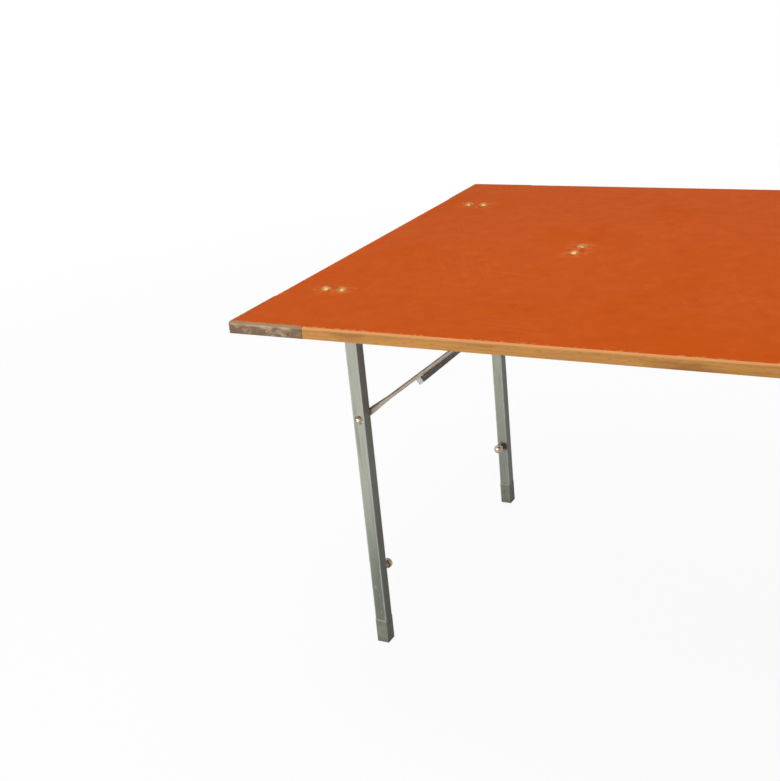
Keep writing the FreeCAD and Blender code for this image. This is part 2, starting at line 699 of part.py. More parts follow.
def keeper(label, side, angle):
    """A pressing under the top: a bolted plate whose stem has two cheeks, slotted for the brace's rod.

    The catch spring hangs between the cheeks. The origin is above the rod, and the bolts are further in.
    """
    bottom = "(keeper_drop + keeper_lip)"
    plate_edge = "(keeper_reach - keeper_width/2)"
    cheek = [
        ("-keeper_back", "0"),
        (plate_edge, "0"),
        (plate_edge, "-keeper_plate"),
        ("keeper_front", "-keeper_flange"),
        ("keeper_front", f"-{bottom}"),
        ("-keeper_back + keeper_bevel", f"-{bottom}"),
        ("-keeper_back", f"-{bottom} + keeper_bevel"),
    ]
    cheeks = padded("XZ_Plane", cheek, "keeper_gap + 2*keeper_plate")
    deep = f"({bottom} + 2*overrun)"
    inside = centred("2*keeper_reach", "keeper_gap", deep, f"-{deep} - keeper_plate")
    flat = centred("keeper_width", "keeper_length", "keeper_plate", "-keeper_plate", "keeper_reach")
    plate = rounded(flat, "keeper_corner")
    slot_radius = "(rod_diameter/2 + slot_clearance)"
    across = "keeper_length"
    seat = rod(slot_radius, across, "0", f"-{across}/2", "-keeper_drop", "y")
    mouth = block("2*keeper_front", across, f"2*{slot_radius}", "0", f"-{across}/2", f"-{slot_radius}")
    swing = turn(group([mouth]), (0, 1, 0), FOLD_ANGLE)
    bind(swing, Placement__Rotation__Angle=exit_angle())
    move(swing, z="-keeper_drop")
    pressing = cut(joined(cut(cheeks, inside), plate), joined(seat, swing))
    holes = []
    low = "-keeper_plate - overrun"
    for edge in ("-", ""):
        y = f"{edge}keeper_bolt_pitch/2"
        holes.append(rod(BORE, "keeper_plate + 2*overrun", "keeper_reach", y, low))
    body = turn(cut(pressing, *holes), (0, 0, 1), angle)
    node(move(body, f"{side}{HOOK_X}", "0", UNDERSIDE), f"brace_keeper_{label}")
    face = "(rod_diameter/2 + spring_play)"
    outer = f"({face} + spring_sheet)"
    tail = "(keeper_drop + spring_lead)"
    leaf = [
        ("-spring_tab", "-keeper_plate"),
        (outer, "-keeper_plate"),
        (outer, f"-{tail}"),
        (f"{outer} + spring_flare", f"-{tail} - spring_flare"),
        (f"{face} + spring_flare", f"-{tail} - spring_flare"),
        (face, f"-{tail}"),
        (face, "-keeper_plate - spring_sheet"),
        ("-spring_tab", "-keeper_plate - spring_sheet"),
    ]
    spring = turn(padded("XZ_Plane", leaf, "spring_width"), (0, 0, 1), angle)
    node(move(spring, f"{side}{HOOK_X}", "0", UNDERSIDE), f"catch_spring_{label}")


def write_parts():
    """Checks every object and writes each sub-part to its own file."""
    doc.recompute()
    broken = [obj.Label for obj in doc.Objects if "Invalid" in obj.State or "Error" in obj.State]
    broken += [obj.Label for obj in nodes if obj.Shape.isNull() or not obj.Shape.isValid()]
    if broken:
        raise RuntimeError(f"these didn't build: {broken}")
    os.makedirs("parts", exist_ok=True)
    for obj in nodes:
        obj.Shape.exportStep(f"parts/{obj.Label}.step")
    print(f"{len(nodes)} sub-parts, {sum(len(obj.Shape.Solids) for obj in nodes)} solids")


def main():
    """Builds the table from its top down."""
    fill_sheet()
    top_panel()
    lippings()
    corner_guards()
    top_fasteners()
    leg_fasteners()
    for label, side, end_angle in (("left", "-", 0), ("right", "", 180)):
        for depth, edge, leg_angle in (("front", "-", 0), ("back", "", 180)):
            name = f"{label}_{depth}"
            leg_bracket(name, side, edge, end_angle)
            leg(name, side, edge, leg_angle)
            foot(name, side, edge, leg_angle)
            clamp_screw(name, side, edge, leg_angle)
            brace_arm(name, side, edge)
        brace_middle(label, side)
        keeper(label, side, end_angle)
    write_parts()


main()
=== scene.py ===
"""Dresses the folding trestle table: a finish for every part, finer fittings, light and camera.

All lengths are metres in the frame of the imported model: +Z up, +X along the table, the origin on the floor.
"""

import logging
import math
import random
from dataclasses import dataclass, replace
from enum import Enum
from typing import Any

import bmesh
import bpy
from mathutils import Matrix, Vector


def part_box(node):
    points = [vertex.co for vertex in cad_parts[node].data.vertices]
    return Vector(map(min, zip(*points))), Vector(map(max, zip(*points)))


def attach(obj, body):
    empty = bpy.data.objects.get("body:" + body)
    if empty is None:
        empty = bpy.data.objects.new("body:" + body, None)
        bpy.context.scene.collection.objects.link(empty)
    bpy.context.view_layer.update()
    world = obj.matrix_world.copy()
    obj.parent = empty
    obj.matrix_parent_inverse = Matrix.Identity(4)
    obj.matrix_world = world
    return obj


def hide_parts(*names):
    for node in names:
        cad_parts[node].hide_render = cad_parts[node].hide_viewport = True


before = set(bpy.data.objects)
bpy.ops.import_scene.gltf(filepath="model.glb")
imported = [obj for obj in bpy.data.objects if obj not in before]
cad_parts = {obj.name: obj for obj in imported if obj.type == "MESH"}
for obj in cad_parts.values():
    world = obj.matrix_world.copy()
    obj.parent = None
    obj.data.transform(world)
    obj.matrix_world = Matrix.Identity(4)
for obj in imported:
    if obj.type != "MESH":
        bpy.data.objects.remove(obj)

LOG = logging.getLogger("folding_table")
MM = 0.001
MERGE = 0.001 * MM
FULL_TURN = 2.0 * math.pi
SHARP_ANGLE = math.radians(35.0)
DOWN = Vector((0.0, 0.0, -1.0))
VALUE = "NodeSocketFloat"

Colour = tuple[float, float, float]
Point = tuple[float, float, float]
Box = tuple[Vector, Vector]
Shape = bmesh.types.BMesh
Socket = bpy.types.NodeSocket
# What goes into a node's input, a socket or a plain value, and what goes into a shader by its inputs' names.
Feed = Any
Feeds = dict[str, Feed]


class Side(Enum):
    """A side of the table, with the side of the origin that it lies on."""

    @property
    def label(self) -> str:
        """The side's word in the parts' names."""
        return self.name.lower()


class End(Side):
    """The two ends of the table."""

    LEFT = -1
    RIGHT = 1


class Depth(Side):
    """The two long sides of the table."""

    FRONT = -1
    BACK = 1


class GrainAxis(Enum):
    """The way that a strip's grain runs, as the turn that brings it onto X."""

    ALONG = 0.0
    ACROSS = math.pi / 2


def corner_names() -> list[str]:
    """The words of the four corners, such as left_front."""
    return [f"{end.label}_{depth.label}" for end in End for depth in Depth]


def linear(colour: Colour) -> tuple[float, float, float, float]:
    """Turns a colour as it is seen on a screen into the light that it stands for.

    Args:
        colour: Red, green and blue from 0 to 255.

    Returns:
        Red, green, blue and alpha in linear light.
    """
    parts = []
    for part in colour:
        share = part / 255.0
        parts.append(share / 12.92 if share <= 0.04045 else ((share + 0.055) / 1.055) ** 2.4)
    return (parts[0], parts[1], parts[2], 1.0)


def solid_boxes(node: str) -> list[Box]:
    """Finds the separate solids of a CAD node.

    Args:
        node: The node's name.

    Returns:
        The lowest and highest corner of each solid.
    """
    shape = bmesh.new()
    shape.from_mesh(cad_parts[node].data)
    bmesh.ops.remove_doubles(shape, verts=shape.verts, dist=MERGE)
    waiting = set(shape.verts)
    boxes = []
    while waiting:
        reached = [waiting.pop()]
        low = reached[0].co.copy()
        high = reached[0].co.copy()
        while reached:
            vertex = reached.pop()
            low = Vector(map(min, low, vertex.co))
            high = Vector(map(max, high, vertex.co))
            for edge in vertex.link_edges:
                other = edge.other_vert(vertex)
                if other in waiting:
                    waiting.discard(other)
                    reached.append(other)
        boxes.append((low, high))
    shape.free()
    return sorted(boxes, key=lambda box: tuple(box[0]))


def centre(box: Box) -> Vector:
    """The middle of a box."""
    return (box[0] + box[1]) / 2


def inward(place: Vector) -> Vector:
    """The way across the table from a place to its middle."""
    return Vector((0.0, -math.copysign(1.0, place.y), 0.0))


def stand(name: str, data: bpy.types.ID) -> bpy.types.Object:
    """Puts a mesh, a light or a camera into the scene.

    Args:
        name: The object's name.
        data: The mesh, light or camera.

    Returns:
        The new object.
    """
    made = bpy.data.objects.new(name, data)
    bpy.context.scene.collection.objects.link(made)
    return made


class Graph:
    """A node tree that grows by short calls, most of which give back a socket."""

    def __init__(self, tree: bpy.types.NodeTree) -> None:
        """Keeps the tree that the nodes go into."""
        self.tree = tree

    @classmethod
    def fresh(cls, owner: bpy.types.Material | bpy.types.World) -> "Graph":
        """Empties a node tree, to start it anew.

        Args:
            owner: The material or world that the tree belongs to.

        Returns:
            The empty tree.
        """
        owner.use_nodes = True
        owner.node_tree.nodes.clear()
        return cls(owner.node_tree)

    def node(self, kind: str, feeds: dict[Any, Feed] | None = None, **settings: Any) -> bpy.types.Node:
        """Adds a node.

        Args:
            kind: The node's type.
            feeds: What goes into its inputs, by name or number: a socket or a plain value.
            settings: The node's own properties.

        Returns:
            The new node.
        """
        made = self.tree.nodes.new(kind)
        for name, value in settings.items():
            setattr(made, name, value)
        for name, value in (feeds or {}).items():
            self.feed(made.inputs[name], value)
        return made

    def feed(self, socket: Socket, value: Feed) -> None:
        """Fills an input.

        Args:
            socket: The input.
            value: A socket to link it to, or a plain value to set there.
        """
        if isinstance(value, Socket):
            self.tree.links.new(value, socket)
        else:
            socket.default_value = value

    def place(self) -> Socket:
        """The point on the piece, in its own coordinates."""
        return self.node("ShaderNodeTexCoord").outputs["Object"]

    def axis(self, vector: Feed, name: str) -> Socket:
        """One coordinate of a vector, X, Y or Z."""
        return self.node("ShaderNodeSeparateXYZ", {0: vector}).outputs[name]

    def mapped(self, vector: Feed, scale: Point, turn: float = 0.0) -> Socket:
        """A vector stretched along each axis, after a turn about Z in radians."""
        turned = self.node("ShaderNodeMapping", {"Vector": vector, "Rotation": (0.0, 0.0, turn)}).outputs[0]
        return self.node("ShaderNodeMapping", {"Vector": turned, "Scale": scale}).outputs[0]

    def math(self, operation: str, first: Feed, second: Feed = 0.0) -> Socket:
        """A sum of one or two values."""
        return self.node("ShaderNodeMath", {0: first, 1: second}, operation=operation).outputs[0]

    def times(self, first: Feed, second: Feed) -> Socket:
        """One value times another."""
        return self.math("MULTIPLY", first, second)

    def beyond(self, place: Feed, axis: str, limit: float) -> Socket:
        """How far a point lies beyond a limit on either side of the origin."""
        return self.math("SUBTRACT", self.math("ABSOLUTE", self.axis(place, axis)), limit)

    def distance(self, vector: Feed, point: Vector) -> Socket:
        """How far a vector lies from a fixed point."""
        return self.node("ShaderNodeVectorMath", {0: vector, 1: point}, operation="DISTANCE").outputs["Value"]

    def along(self, vector: Feed, direction: Vector) -> Socket:
        """How far a vector reaches in a fixed direction."""
        feeds = {0: vector, 1: direction}
        return self.node("ShaderNodeVectorMath", feeds, operation="DOT_PRODUCT").outputs["Value"]

    def noise(self, vector: Feed, scale: Feed, detail: float = 3.0, blur: float = 0.5) -> Socket:
        """Cloudy noise around one half, by its clouds to a metre, its finer layers and their strength."""
        feeds = {"Vector": vector, "Scale": scale, "Detail": detail, "Roughness": blur}
        return self.node("ShaderNodeTexNoise", feeds).outputs[0]

    def cells(self, vector: Feed, scale: float) -> Socket:
        """How far a point lies from the middle of its cell, for spots."""
        return self.node("ShaderNodeTexVoronoi", {"Vector": vector, "Scale": scale}).outputs["Distance"]

    def band(self, value: Feed, low: Feed, high: Feed, first: Feed = 0.0, last: Feed = 1.0) -> Socket:
        """A smooth step as a value goes from low to high, with what comes out first and last."""
        feeds = {0: value, 1: low, 2: high, 3: first, 4: last}
        return self.node("ShaderNodeMapRange", feeds, interpolation_type="SMOOTHSTEP").outputs[0]

    def mix(self, share: Feed, first: Feed, second: Feed) -> Socket:
        """Two colours, mixed.

        Args:
            share: How much of the second colour there is.
            first: The first colour, a socket or a colour from 0 to 255.
            second: The second colour, likewise.

        Returns:
            The mixed colour.
        """
        colours = [c if isinstance(c, Socket) else linear(c) for c in (first, second)]
        feeds = {0: share, 6: colours[0], 7: colours[1]}
        return self.node("ShaderNodeMix", feeds, data_type="RGBA").outputs[2]

    def bump(self, height: Feed, depth: float, strength: float = 1.0) -> Socket:
        """A normal bumped by a height from 0 to 1, by the depth in metres that 1 stands for."""
        feeds = {"Height": height, "Distance": depth, "Strength": strength}
        return self.node("ShaderNodeBump", feeds).outputs[0]

    def raised(self, value: Feed, mask: Feed, reach: float) -> Socket:
        """A value raised by a mask or a noise, by up to a reach."""
        return self.math("ADD", value, self.times(mask, reach))

    def halo(self, place: Feed, points: tuple[Point, ...], near: float, far: float) -> Feed:
        """Marks what lies round a few points.

        Args:
            place: The point on the piece.
            points: The points.
            near: How far from a point the mark is full.
            far: How far from it the mark ends.

        Returns:
            The mark's value, from 0 to 1.
        """
        total: Feed = 0.0
        for point in points:
            close = self.band(self.distance(place, Vector(point)), near, far, 1.0, 0.0)
            total = self.math("MAXIMUM", total, close)
        return total


class Effect:
    """A shader node group that several finishes share."""

    def __init__(self, name: str, outputs: dict[str, str], **inputs: float) -> None:
        """Starts a group that takes the point on the piece and a few numbers.

        Args:
            name: The group's name.
            outputs: The socket type of each output.
            inputs: The number that each further input starts from.
        """
        self.tree = bpy.data.node_groups.new(name, "ShaderNodeTree")
        self.graph = Graph(self.tree)
        self.tree.interface.new_socket("Place", in_out="INPUT", socket_type="NodeSocketVector")
        for label, value in inputs.items():
            socket = self.tree.interface.new_socket(label, in_out="INPUT", socket_type=VALUE)
            socket.default_value = value
        for label, kind in outputs.items():
            self.tree.interface.new_socket(label, in_out="OUTPUT", socket_type=kind)
        self.inputs = self.graph.node("NodeGroupInput").outputs
        self.outputs = self.graph.node("NodeGroupOutput").inputs

    def give(self, **values: Feed) -> "Effect":
        """Links the group's outputs.

        Args:
            values: What each output gives, by its name.

        Returns:
            The group itself.
        """
        for label, value in values.items():
            self.graph.feed(self.outputs[label], value)
        return self

    def placed(self, graph: Graph, place: Feed, **values: Feed) -> Any:
        """Puts the group into a material with its own numbers, and gives back the outputs by name."""
        return graph.node("ShaderNodeGroup", {"Place": place, **values}, node_tree=self.tree).outputs


def make_scuffs() -> Effect:
    """Fine scratches in three directions, and soft smudges.

    Returns:
        The group.
    """
    effect = Effect("scuffs", {"Scratches": VALUE, "Smudges": VALUE}, Density=0.5)
    graph, place = effect.graph, effect.inputs["Place"]
    total: Feed = 0.0
    for number, (turn, fine) in enumerate(((0.15, 260.0), (1.05, 330.0), (2.3, 210.0))):
        line = graph.noise(graph.mapped(place, (2.6, fine, fine), turn), 1.0, detail=1.0)
        gate = graph.noise(graph.mapped(place, (3.1, 3.1, 3.1), turn + number), 1.0, detail=2.0)
        here = graph.band(gate, 0.5, 0.66)
        total = graph.math("MAXIMUM", total, graph.times(graph.band(line, 0.64, 0.7), here))
    cloud = graph.noise(place, 5.0, detail=6.0, blur=0.62)
    return effect.give(
        Scratches=graph.times(total, effect.inputs["Density"]),
        Smudges=graph.band(cloud, 0.46, 0.72),
    )


def make_rust() -> Effect:
    """Rust that eats in from patches, with its own mottled colour.

    Returns:
        The group.
    """
    effect = Effect("rust", {"Mask": VALUE, "Colour": "NodeSocketColor"}, Cover=0.4, Scale=60.0)
    graph, place = effect.graph, effect.inputs["Place"]
    patch = graph.noise(place, effect.inputs["Scale"], detail=6.0, blur=0.68)
    edge = graph.math("SUBTRACT", 1.0, effect.inputs["Cover"])
    soft = 0.08
    mask = graph.band(patch, graph.math("SUBTRACT", edge, soft), graph.math("ADD", edge, soft))
    fine = graph.noise(place, 420.0)
    dark, pale = (84, 48, 30), (150, 92, 54)
    return effect.give(Mask=mask, Colour=graph.mix(graph.band(fine, 0.35, 0.65), dark, pale))


def make_grain() -> Effect:
    """Wood grain along X: fibres, slow figure and short dark pores.

    Returns:
        The group.
    """
    effect = Effect("grain", {"Fibre": VALUE, "Figure": VALUE, "Pores": VALUE}, Fineness=1.0)
    graph = effect.graph
    feeds = {0: effect.inputs["Place"], "Scale": effect.inputs["Fineness"]}
    place = graph.node("ShaderNodeVectorMath", feeds, operation="SCALE").outputs[0]
    fibre = graph.noise(graph.mapped(place, (9.0, 320.0, 320.0)), 1.0, detail=4.0, blur=0.6)
    figure = graph.noise(graph.mapped(place, (6.5, 40.0, 40.0)), 1.0)
    pores = graph.noise(graph.mapped(place, (60.0, 900.0, 900.0)), 1.0, detail=1.0)
    return effect.give(Fibre=fibre, Figure=figure, Pores=graph.band(pores, 0.62, 0.7))


def make_mottle() -> Effect:
    """The clouded, faintly brushed look of worn plating.

    Returns:
        The group.
    """
    effect = Effect("mottle", {"Cloud": VALUE, "Brush": VALUE})
    graph, place = effect.graph, effect.inputs["Place"]
    cloud = graph.noise(place, 90.0, detail=5.0, blur=0.6)
    brush = graph.noise(graph.mapped(place, (700.0, 700.0, 30.0)), 1.0, detail=2.0)
    return effect.give(Cloud=graph.band(cloud, 0.36, 0.64), Brush=brush)


@dataclass(frozen=True)
class Effects:
    """The groups that the finishes share, each built once."""

    scuffs: Effect
    rust: Effect
    grain: Effect
    mottle: Effect


EFFECTS = Effects(make_scuffs(), make_rust(), make_grain(), make_mottle())


@dataclass(frozen=True)
class Finish:
    """A named finish. Each kind paints its own nodes."""

    name: str

    def material(self) -> bpy.types.Material:
        """Builds the finish as a material when it is first asked for.

        Returns:
            The material.
        """
        found = bpy.data.materials.get(self.name)
        if found:
            return found
        made = bpy.data.materials.new(self.name)
        graph = Graph.fresh(made)
        shader = graph.node("ShaderNodeBsdfPrincipled")
        graph.node("ShaderNodeOutputMaterial", {"Surface": shader.outputs[0]})
        for name, value in self.paint(graph, graph.place()).items():
            graph.feed(shader.inputs[name], value)
        return made

    def paint(self, graph: Graph, place: Socket) -> Feeds:
        """What goes into the shader's inputs, by name."""
        raise NotImplementedError

    def dress(self, *nodes: str) -> None:
        """Gives the finish to CAD nodes.

        Args:
            nodes: The nodes' names.
        """
        for name in nodes:
            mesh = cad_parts[name].data
            mesh.materials.clear()
            mesh.materials.append(self.material())
            LOG.info("%s has %s", name, self.name)


@dataclass(frozen=True)
class Laminate(Finish):
    """Orange melamine sheet: faintly clouded, scuffed all over and rubbed pale round the bolts."""

    base: Colour = (200, 82, 4)
    deep: Colour = (193, 77, 3)
    pale: Colour = (206, 90, 12)
    scratch: Colour = (210, 108, 52)
    rubbed: Colour = (221, 116, 46)
    stained: Colour = (172, 66, 14)
    bare_and_highlight: Colour = (206, 152, 92)
    bolts: tuple[Point, ...] = ()
    halo_near: float = 11.0 * MM
    halo_far: float = 42.0 * MM
    half_length: float = 1.0
    half_width: float = 0.5
    chips_reach: float = 6.0 * MM
    chips_full: float = 0.5 * MM
    smudge_share: float = 0.15

    def paint(self, graph: Graph, place: Socket) -> Feeds:
        """Clouds, smudges and scratches, then wear at the bolts and along the sheet's edge.

        Args:
            graph: The material's nodes.
            place: The point on the piece.

        Returns:
            What goes into the shader.
        """
        cloud = graph.noise(place, 30.0, detail=7.0, blur=0.68)
        colour = graph.mix(graph.band(cloud, 0.3, 0.5), self.deep, self.base)
        colour = graph.mix(graph.band(cloud, 0.5, 0.74), colour, self.pale)
        wear = EFFECTS.scuffs.placed(graph, place, Density=0.3)
        colour = graph.mix(graph.times(wear["Smudges"], self.smudge_share), colour, self.deep)
        colour = graph.mix(wear["Scratches"], colour, self.scratch)
        for size, limit, tone in ((47.0, 0.14, self.scratch), (29.0, 0.09, self.stained)):
            spots = graph.band(graph.cells(place, size), limit / 3, limit, 0.7, 0.0)
            gate = graph.band(graph.noise(place, size / 3), 0.54, 0.62)
            colour = graph.mix(graph.times(spots, gate), colour, tone)
        halo = graph.halo(place, self.bolts, self.halo_near, self.halo_far)
        spread = graph.noise(place, 70.0, detail=4.0, blur=0.6)
        blotch = graph.band(spread, 0.42, 0.62, 0.0, 0.8)
        colour = graph.mix(graph.times(halo, blotch), colour, self.rubbed)
        stain = graph.band(spread, 0.3, 0.44, 0.7, 0.0)
        colour = graph.mix(graph.times(halo, stain), colour, self.stained)
        beyond_x = graph.beyond(place, "X", self.half_length)
        beyond_y = graph.beyond(place, "Y", self.half_width)
        beyond = graph.math("MAXIMUM", beyond_x, beyond_y)
        edge = graph.band(beyond, -self.chips_reach, -self.chips_full)
        chips = graph.band(graph.noise(place, 120.0, detail=5.0, blur=0.65), 0.52, 0.6, 0.0, 0.7)
        colour = graph.mix(graph.times(edge, chips), colour, self.bare_and_highlight)
        peel = graph.noise(place, 900.0, detail=2.0)
        return {
            "Base Color": colour,
            "Roughness": graph.band(wear["Smudges"], 0.0, 1.0, 0.52, 0.6),
            "Specular IOR Level": 0.01,
            "Normal": graph.bump(graph.math("ADD", peel, wear["Scratches"]), depth=0.03 * MM),
        }


@dataclass(frozen=True)
class EdgeWood(Finish):
    """Oiled hardwood strip with its grain along the edge, nicked, and pale at the arris as part wear and part
    painted highlight.
    """

    grain: GrainAxis = GrainAxis.ALONG
    light: Colour = (198, 140, 66)
    middle: Colour = (182, 123, 52)
    dark: Colour = (154, 98, 40)
    pore: Colour = (118, 72, 32)
    # pale arris tone: part wear, part painted highlight
    worn: Colour = (216, 148, 88)
    nick: Colour = (150, 72, 40)
    arris_low: float = 0.7355
    arris_high: float = 0.738
    arris_wander: float = 1.2 * MM
    pore_share: float = 0.6

    def paint(self, graph: Graph, place: Socket) -> Feeds:
        """Fibres and dark figure, pores, nicks, and the pale arris, part wear and part painted highlight.

        Args:
            graph: The material's nodes.
            place: The point on the piece.

        Returns:
            What goes into the shader.
        """
        along = graph.mapped(place, (1.0, 1.0, 1.0), self.grain.value)
        wood = EFFECTS.grain.placed(graph, along)
        colour = graph.mix(graph.band(wood["Fibre"], 0.34, 0.64), self.middle, self.light)
        colour = graph.mix(graph.band(wood["Figure"], 0.5, 0.7), colour, self.dark)
        colour = graph.mix(graph.times(wood["Pores"], self.pore_share), colour, self.pore)
        spots = graph.band(graph.cells(along, 24.0), 0.04, 0.085, 1.0, 0.0)
        gate = graph.band(graph.noise(along, 7.0, detail=2.0), 0.54, 0.6)
        colour = graph.mix(graph.times(spots, gate), colour, self.nick)
        # pale band along the arris: part wear, part painted highlight
        ragged = graph.raised(graph.axis(place, "Z"), graph.noise(along, 45.0, detail=4.0), self.arris_wander)
        rubbed = graph.band(ragged, self.arris_low, self.arris_high, 0.0, 0.9)
        relief = graph.math("SUBTRACT", wood["Fibre"], wood["Pores"])
        return {
            "Base Color": graph.mix(rubbed, colour, self.worn),
            "Roughness": graph.band(wood["Fibre"], 0.3, 0.7, 0.5, 0.68),
            "Specular IOR Level": 0.3,
            "Normal": graph.bump(relief, depth=0.12 * MM, strength=0.6),
        }


@dataclass(frozen=True)
class CoreBoard(Finish):
    """Raw blockboard, which shows only where the edges are off."""

    light: Colour = (222, 190, 140)
    dark: Colour = (188, 146, 92)
    pore: Colour = (140, 98, 56)
    pore_share: float = 0.5

    def paint(self, graph: Graph, place: Socket) -> Feeds:
        """Plain grain along the board.

        Args:
            graph: The material's nodes.
            place: The point on the piece.

        Returns:
            What goes into the shader.
        """
        wood = EFFECTS.grain.placed(graph, place, Fineness=0.6)
        colour = graph.mix(graph.band(wood["Figure"], 0.4, 0.66), self.light, self.dark)
        return {
            "Base Color": graph.mix(graph.times(wood["Pores"], self.pore_share), colour, self.pore),
            "Roughness": graph.band(wood["Fibre"], 0.3, 0.7, 0.7, 0.85),
            "Normal": graph.bump(wood["Fibre"], depth=0.1 * MM),
        }


@dataclass(frozen=True)
class Metal(Finish):
    """Bare or plated metal, clouded, with scratches and some rust."""

    bright: Colour = (205, 195, 178)
    dull: Colour = (170, 158, 140)
    scratch: Colour = (232, 226, 214)
    metallic: float = 0.75
    smooth: float = 0.3
    rough: float = 0.5
    rust_cover: float = 0.38
    rust_scale: float = 60.0
    rust_share: float = 0.8
    rust_rough: float = 0.3

    def paint(self, graph: Graph, place: Socket) -> Feeds:
        """Clouded plating, bright scratches and rust that dulls it.

        Args:
            graph: The material's nodes.
            place: The point on the piece.

        Returns:
            What goes into the shader.
        """
        plating = EFFECTS.mottle.placed(graph, place)
        colour = graph.mix(plating["Cloud"], self.bright, self.dull)
        wear = EFFECTS.scuffs.placed(graph, place, Density=0.5)
        colour = graph.mix(wear["Scratches"], colour, self.scratch)
        rust = EFFECTS.rust.placed(graph, place, Cover=self.rust_cover, Scale=self.rust_scale)
        share = graph.times(rust["Mask"], self.rust_share)
        rough = graph.band(plating["Cloud"], 0.0, 1.0, self.smooth, self.rough)
        return {
            "Base Color": graph.mix(share, colour, rust["Colour"]),
            "Metallic": graph.band(share, 0.0, 1.0, self.metallic, 0.0),
            "Roughness": graph.raised(rough, share, self.rust_rough),
            "Normal": graph.bump(graph.math("ADD", plating["Brush"], share), depth=0.04 * MM),
        }


@dataclass(frozen=True)
class GuardSteel(Finish):
    """Weathered strip steel: pale over the arris as part wear and part painted highlight, grey and brown
    below with a dark lower rim, rusted at its screws.
    """

    # pale tone over the bend: part wear, part painted highlight
    rubbed: Colour = (144, 117, 80)
    brown: Colour = (100, 78, 51)
    grey: Colour = (148, 129, 102)
    stain: Colour = (142, 88, 54)
    rim: Colour = (96, 66, 42)
    screws: tuple[Point, ...] = ()
    stain_near: float = 2.0 * MM
    stain_far: float = 12.0 * MM
    bend_low: float = 0.735
    bend_high: float = 0.738
    rim_low: float = 0.7198
    rim_high: float = 0.7225
    wander: float = 1.5 * MM

    def paint(self, graph: Graph, place: Socket) -> Feeds:
        """Slow grey and brown patches, a pale bend, a dark lower rim and a stain at each screw.

        Args:
            graph: The material's nodes.
            place: The point on the piece.

        Returns:
            What goes into the shader.
        """
        patch = graph.noise(graph.mapped(place, (26.0, 26.0, 60.0)), 1.0, detail=5.0, blur=0.6)
        colour = graph.mix(graph.band(patch, 0.44, 0.62), self.brown, self.grey)
        halo = graph.halo(place, self.screws, self.stain_near, self.stain_far)
        blotch = graph.band(graph.noise(place, 110.0, detail=4.0), 0.38, 0.6, 0.05, 0.5)
        colour = graph.mix(graph.times(halo, blotch), colour, self.stain)
        ragged = graph.raised(graph.axis(place, "Z"), patch, self.wander)
        # pale band over the bend: part wear, part painted highlight
        colour = graph.mix(graph.band(ragged, self.bend_low, self.bend_high, 0.0, 0.85), colour, self.rubbed)
        rim = graph.band(ragged, self.rim_low, self.rim_high, 0.6, 0.0)
        fine = graph.noise(place, 500.0)
        return {
            "Base Color": graph.mix(rim, colour, self.rim),
            "Metallic": graph.band(patch, 0.44, 0.62, 0.1, 0.35),
            "Roughness": graph.band(patch, 0.4, 0.65, 0.66, 0.5),
            "Normal": graph.bump(graph.math("ADD", fine, patch), depth=0.05 * MM),
        }


@dataclass(frozen=True)
class BraceZinc(Metal):
    """Pale worn plating, with brown painted shade on the upper side of the brace."""

    bright: Colour = (238, 232, 216)
    dull: Colour = (232, 224, 208)
    metallic: float = 0.08
    smooth: float = 0.4
    rough: float = 0.58
    rust_cover: float = 0.32
    rust_scale: float = 26.0
    rust_share: float = 0.25
    # painted shade: the brace's upper side is darkened to brown, like the top's shadow tinted by its orange
    # underside
    shade_brown: Colour = (136, 98, 60)
    brown_low: float = 2.6 * MM
    brown_high: float = 5.0 * MM
    wander: float = 4.0 * MM
    middle: Vector = Vector()
    upward: Vector = Vector((0.0, 0.0, 1.0))

    def paint(self, graph: Graph, place: Socket) -> Feeds:
        """The plating, with brown painted shade from the level of the brace's middle upwards.

        Args:
            graph: The material's nodes.
            place: The point on the piece.

        Returns:
            What goes into the shader.
        """
        feeds = super().paint(graph, place)
        height = graph.math("SUBTRACT", graph.along(place, self.upward), self.middle.dot(self.upward))
        ragged = graph.raised(height, graph.noise(place, 60.0, detail=4.0), self.wander)
        # painted shade: brown over the upper side of each bar
        above = graph.band(ragged, self.brown_low, self.brown_high, 0.0, 0.85)
        feeds["Base Color"] = graph.mix(above, feeds["Base Color"], self.shade_brown)
        return feeds


@dataclass(frozen=True)
class Paint(Finish):
    """Satin paint on steel: darker towards the floor, streaked with grime, scratched to a paler coat."""

    high: Colour = (180, 183, 168)
    low: Colour = (116, 121, 110)
    scratch: Colour = (205, 202, 190)
    grime: Colour = (104, 98, 82)
    low_end: float = 0.08
    high_end: float = 0.42
    smooth: float = 0.4
    smudge_rough: float = 0.16
    speck_share: float = 0.6

    def paint(self, graph: Graph, place: Socket) -> Feeds:
        """A slow change of tone up the tube, soft clouds, scratches and specks of grime.

        Args:
            graph: The material's nodes.
            place: The point on the piece.

        Returns:
            What goes into the shader.
        """
        height = graph.band(graph.axis(place, "Z"), self.low_end, self.high_end)
        streak = graph.noise(graph.mapped(place, (90.0, 90.0, 7.0)), 1.0, detail=5.0, blur=0.6)
        colour = graph.mix(height, self.low, self.high)
        colour = graph.mix(graph.band(streak, 0.5, 0.72, 0.0, 0.4), colour, self.grime)
        wear = EFFECTS.scuffs.placed(graph, graph.mapped(place, (1.0, 1.0, 0.4)), Density=0.5)
        colour = graph.mix(wear["Scratches"], colour, self.scratch)
        specks = EFFECTS.rust.placed(graph, place, Cover=0.3, Scale=130.0)
        colour = graph.mix(graph.times(specks["Mask"], self.speck_share), colour, specks["Colour"])
        return {
            "Base Color": colour,
            "Roughness": graph.band(wear["Smudges"], 0.0, 1.0, self.smooth, self.smooth + self.smudge_rough),
            "Specular IOR Level": 0.2,
            "Normal": graph.bump(streak, depth=0.05 * MM),
        }


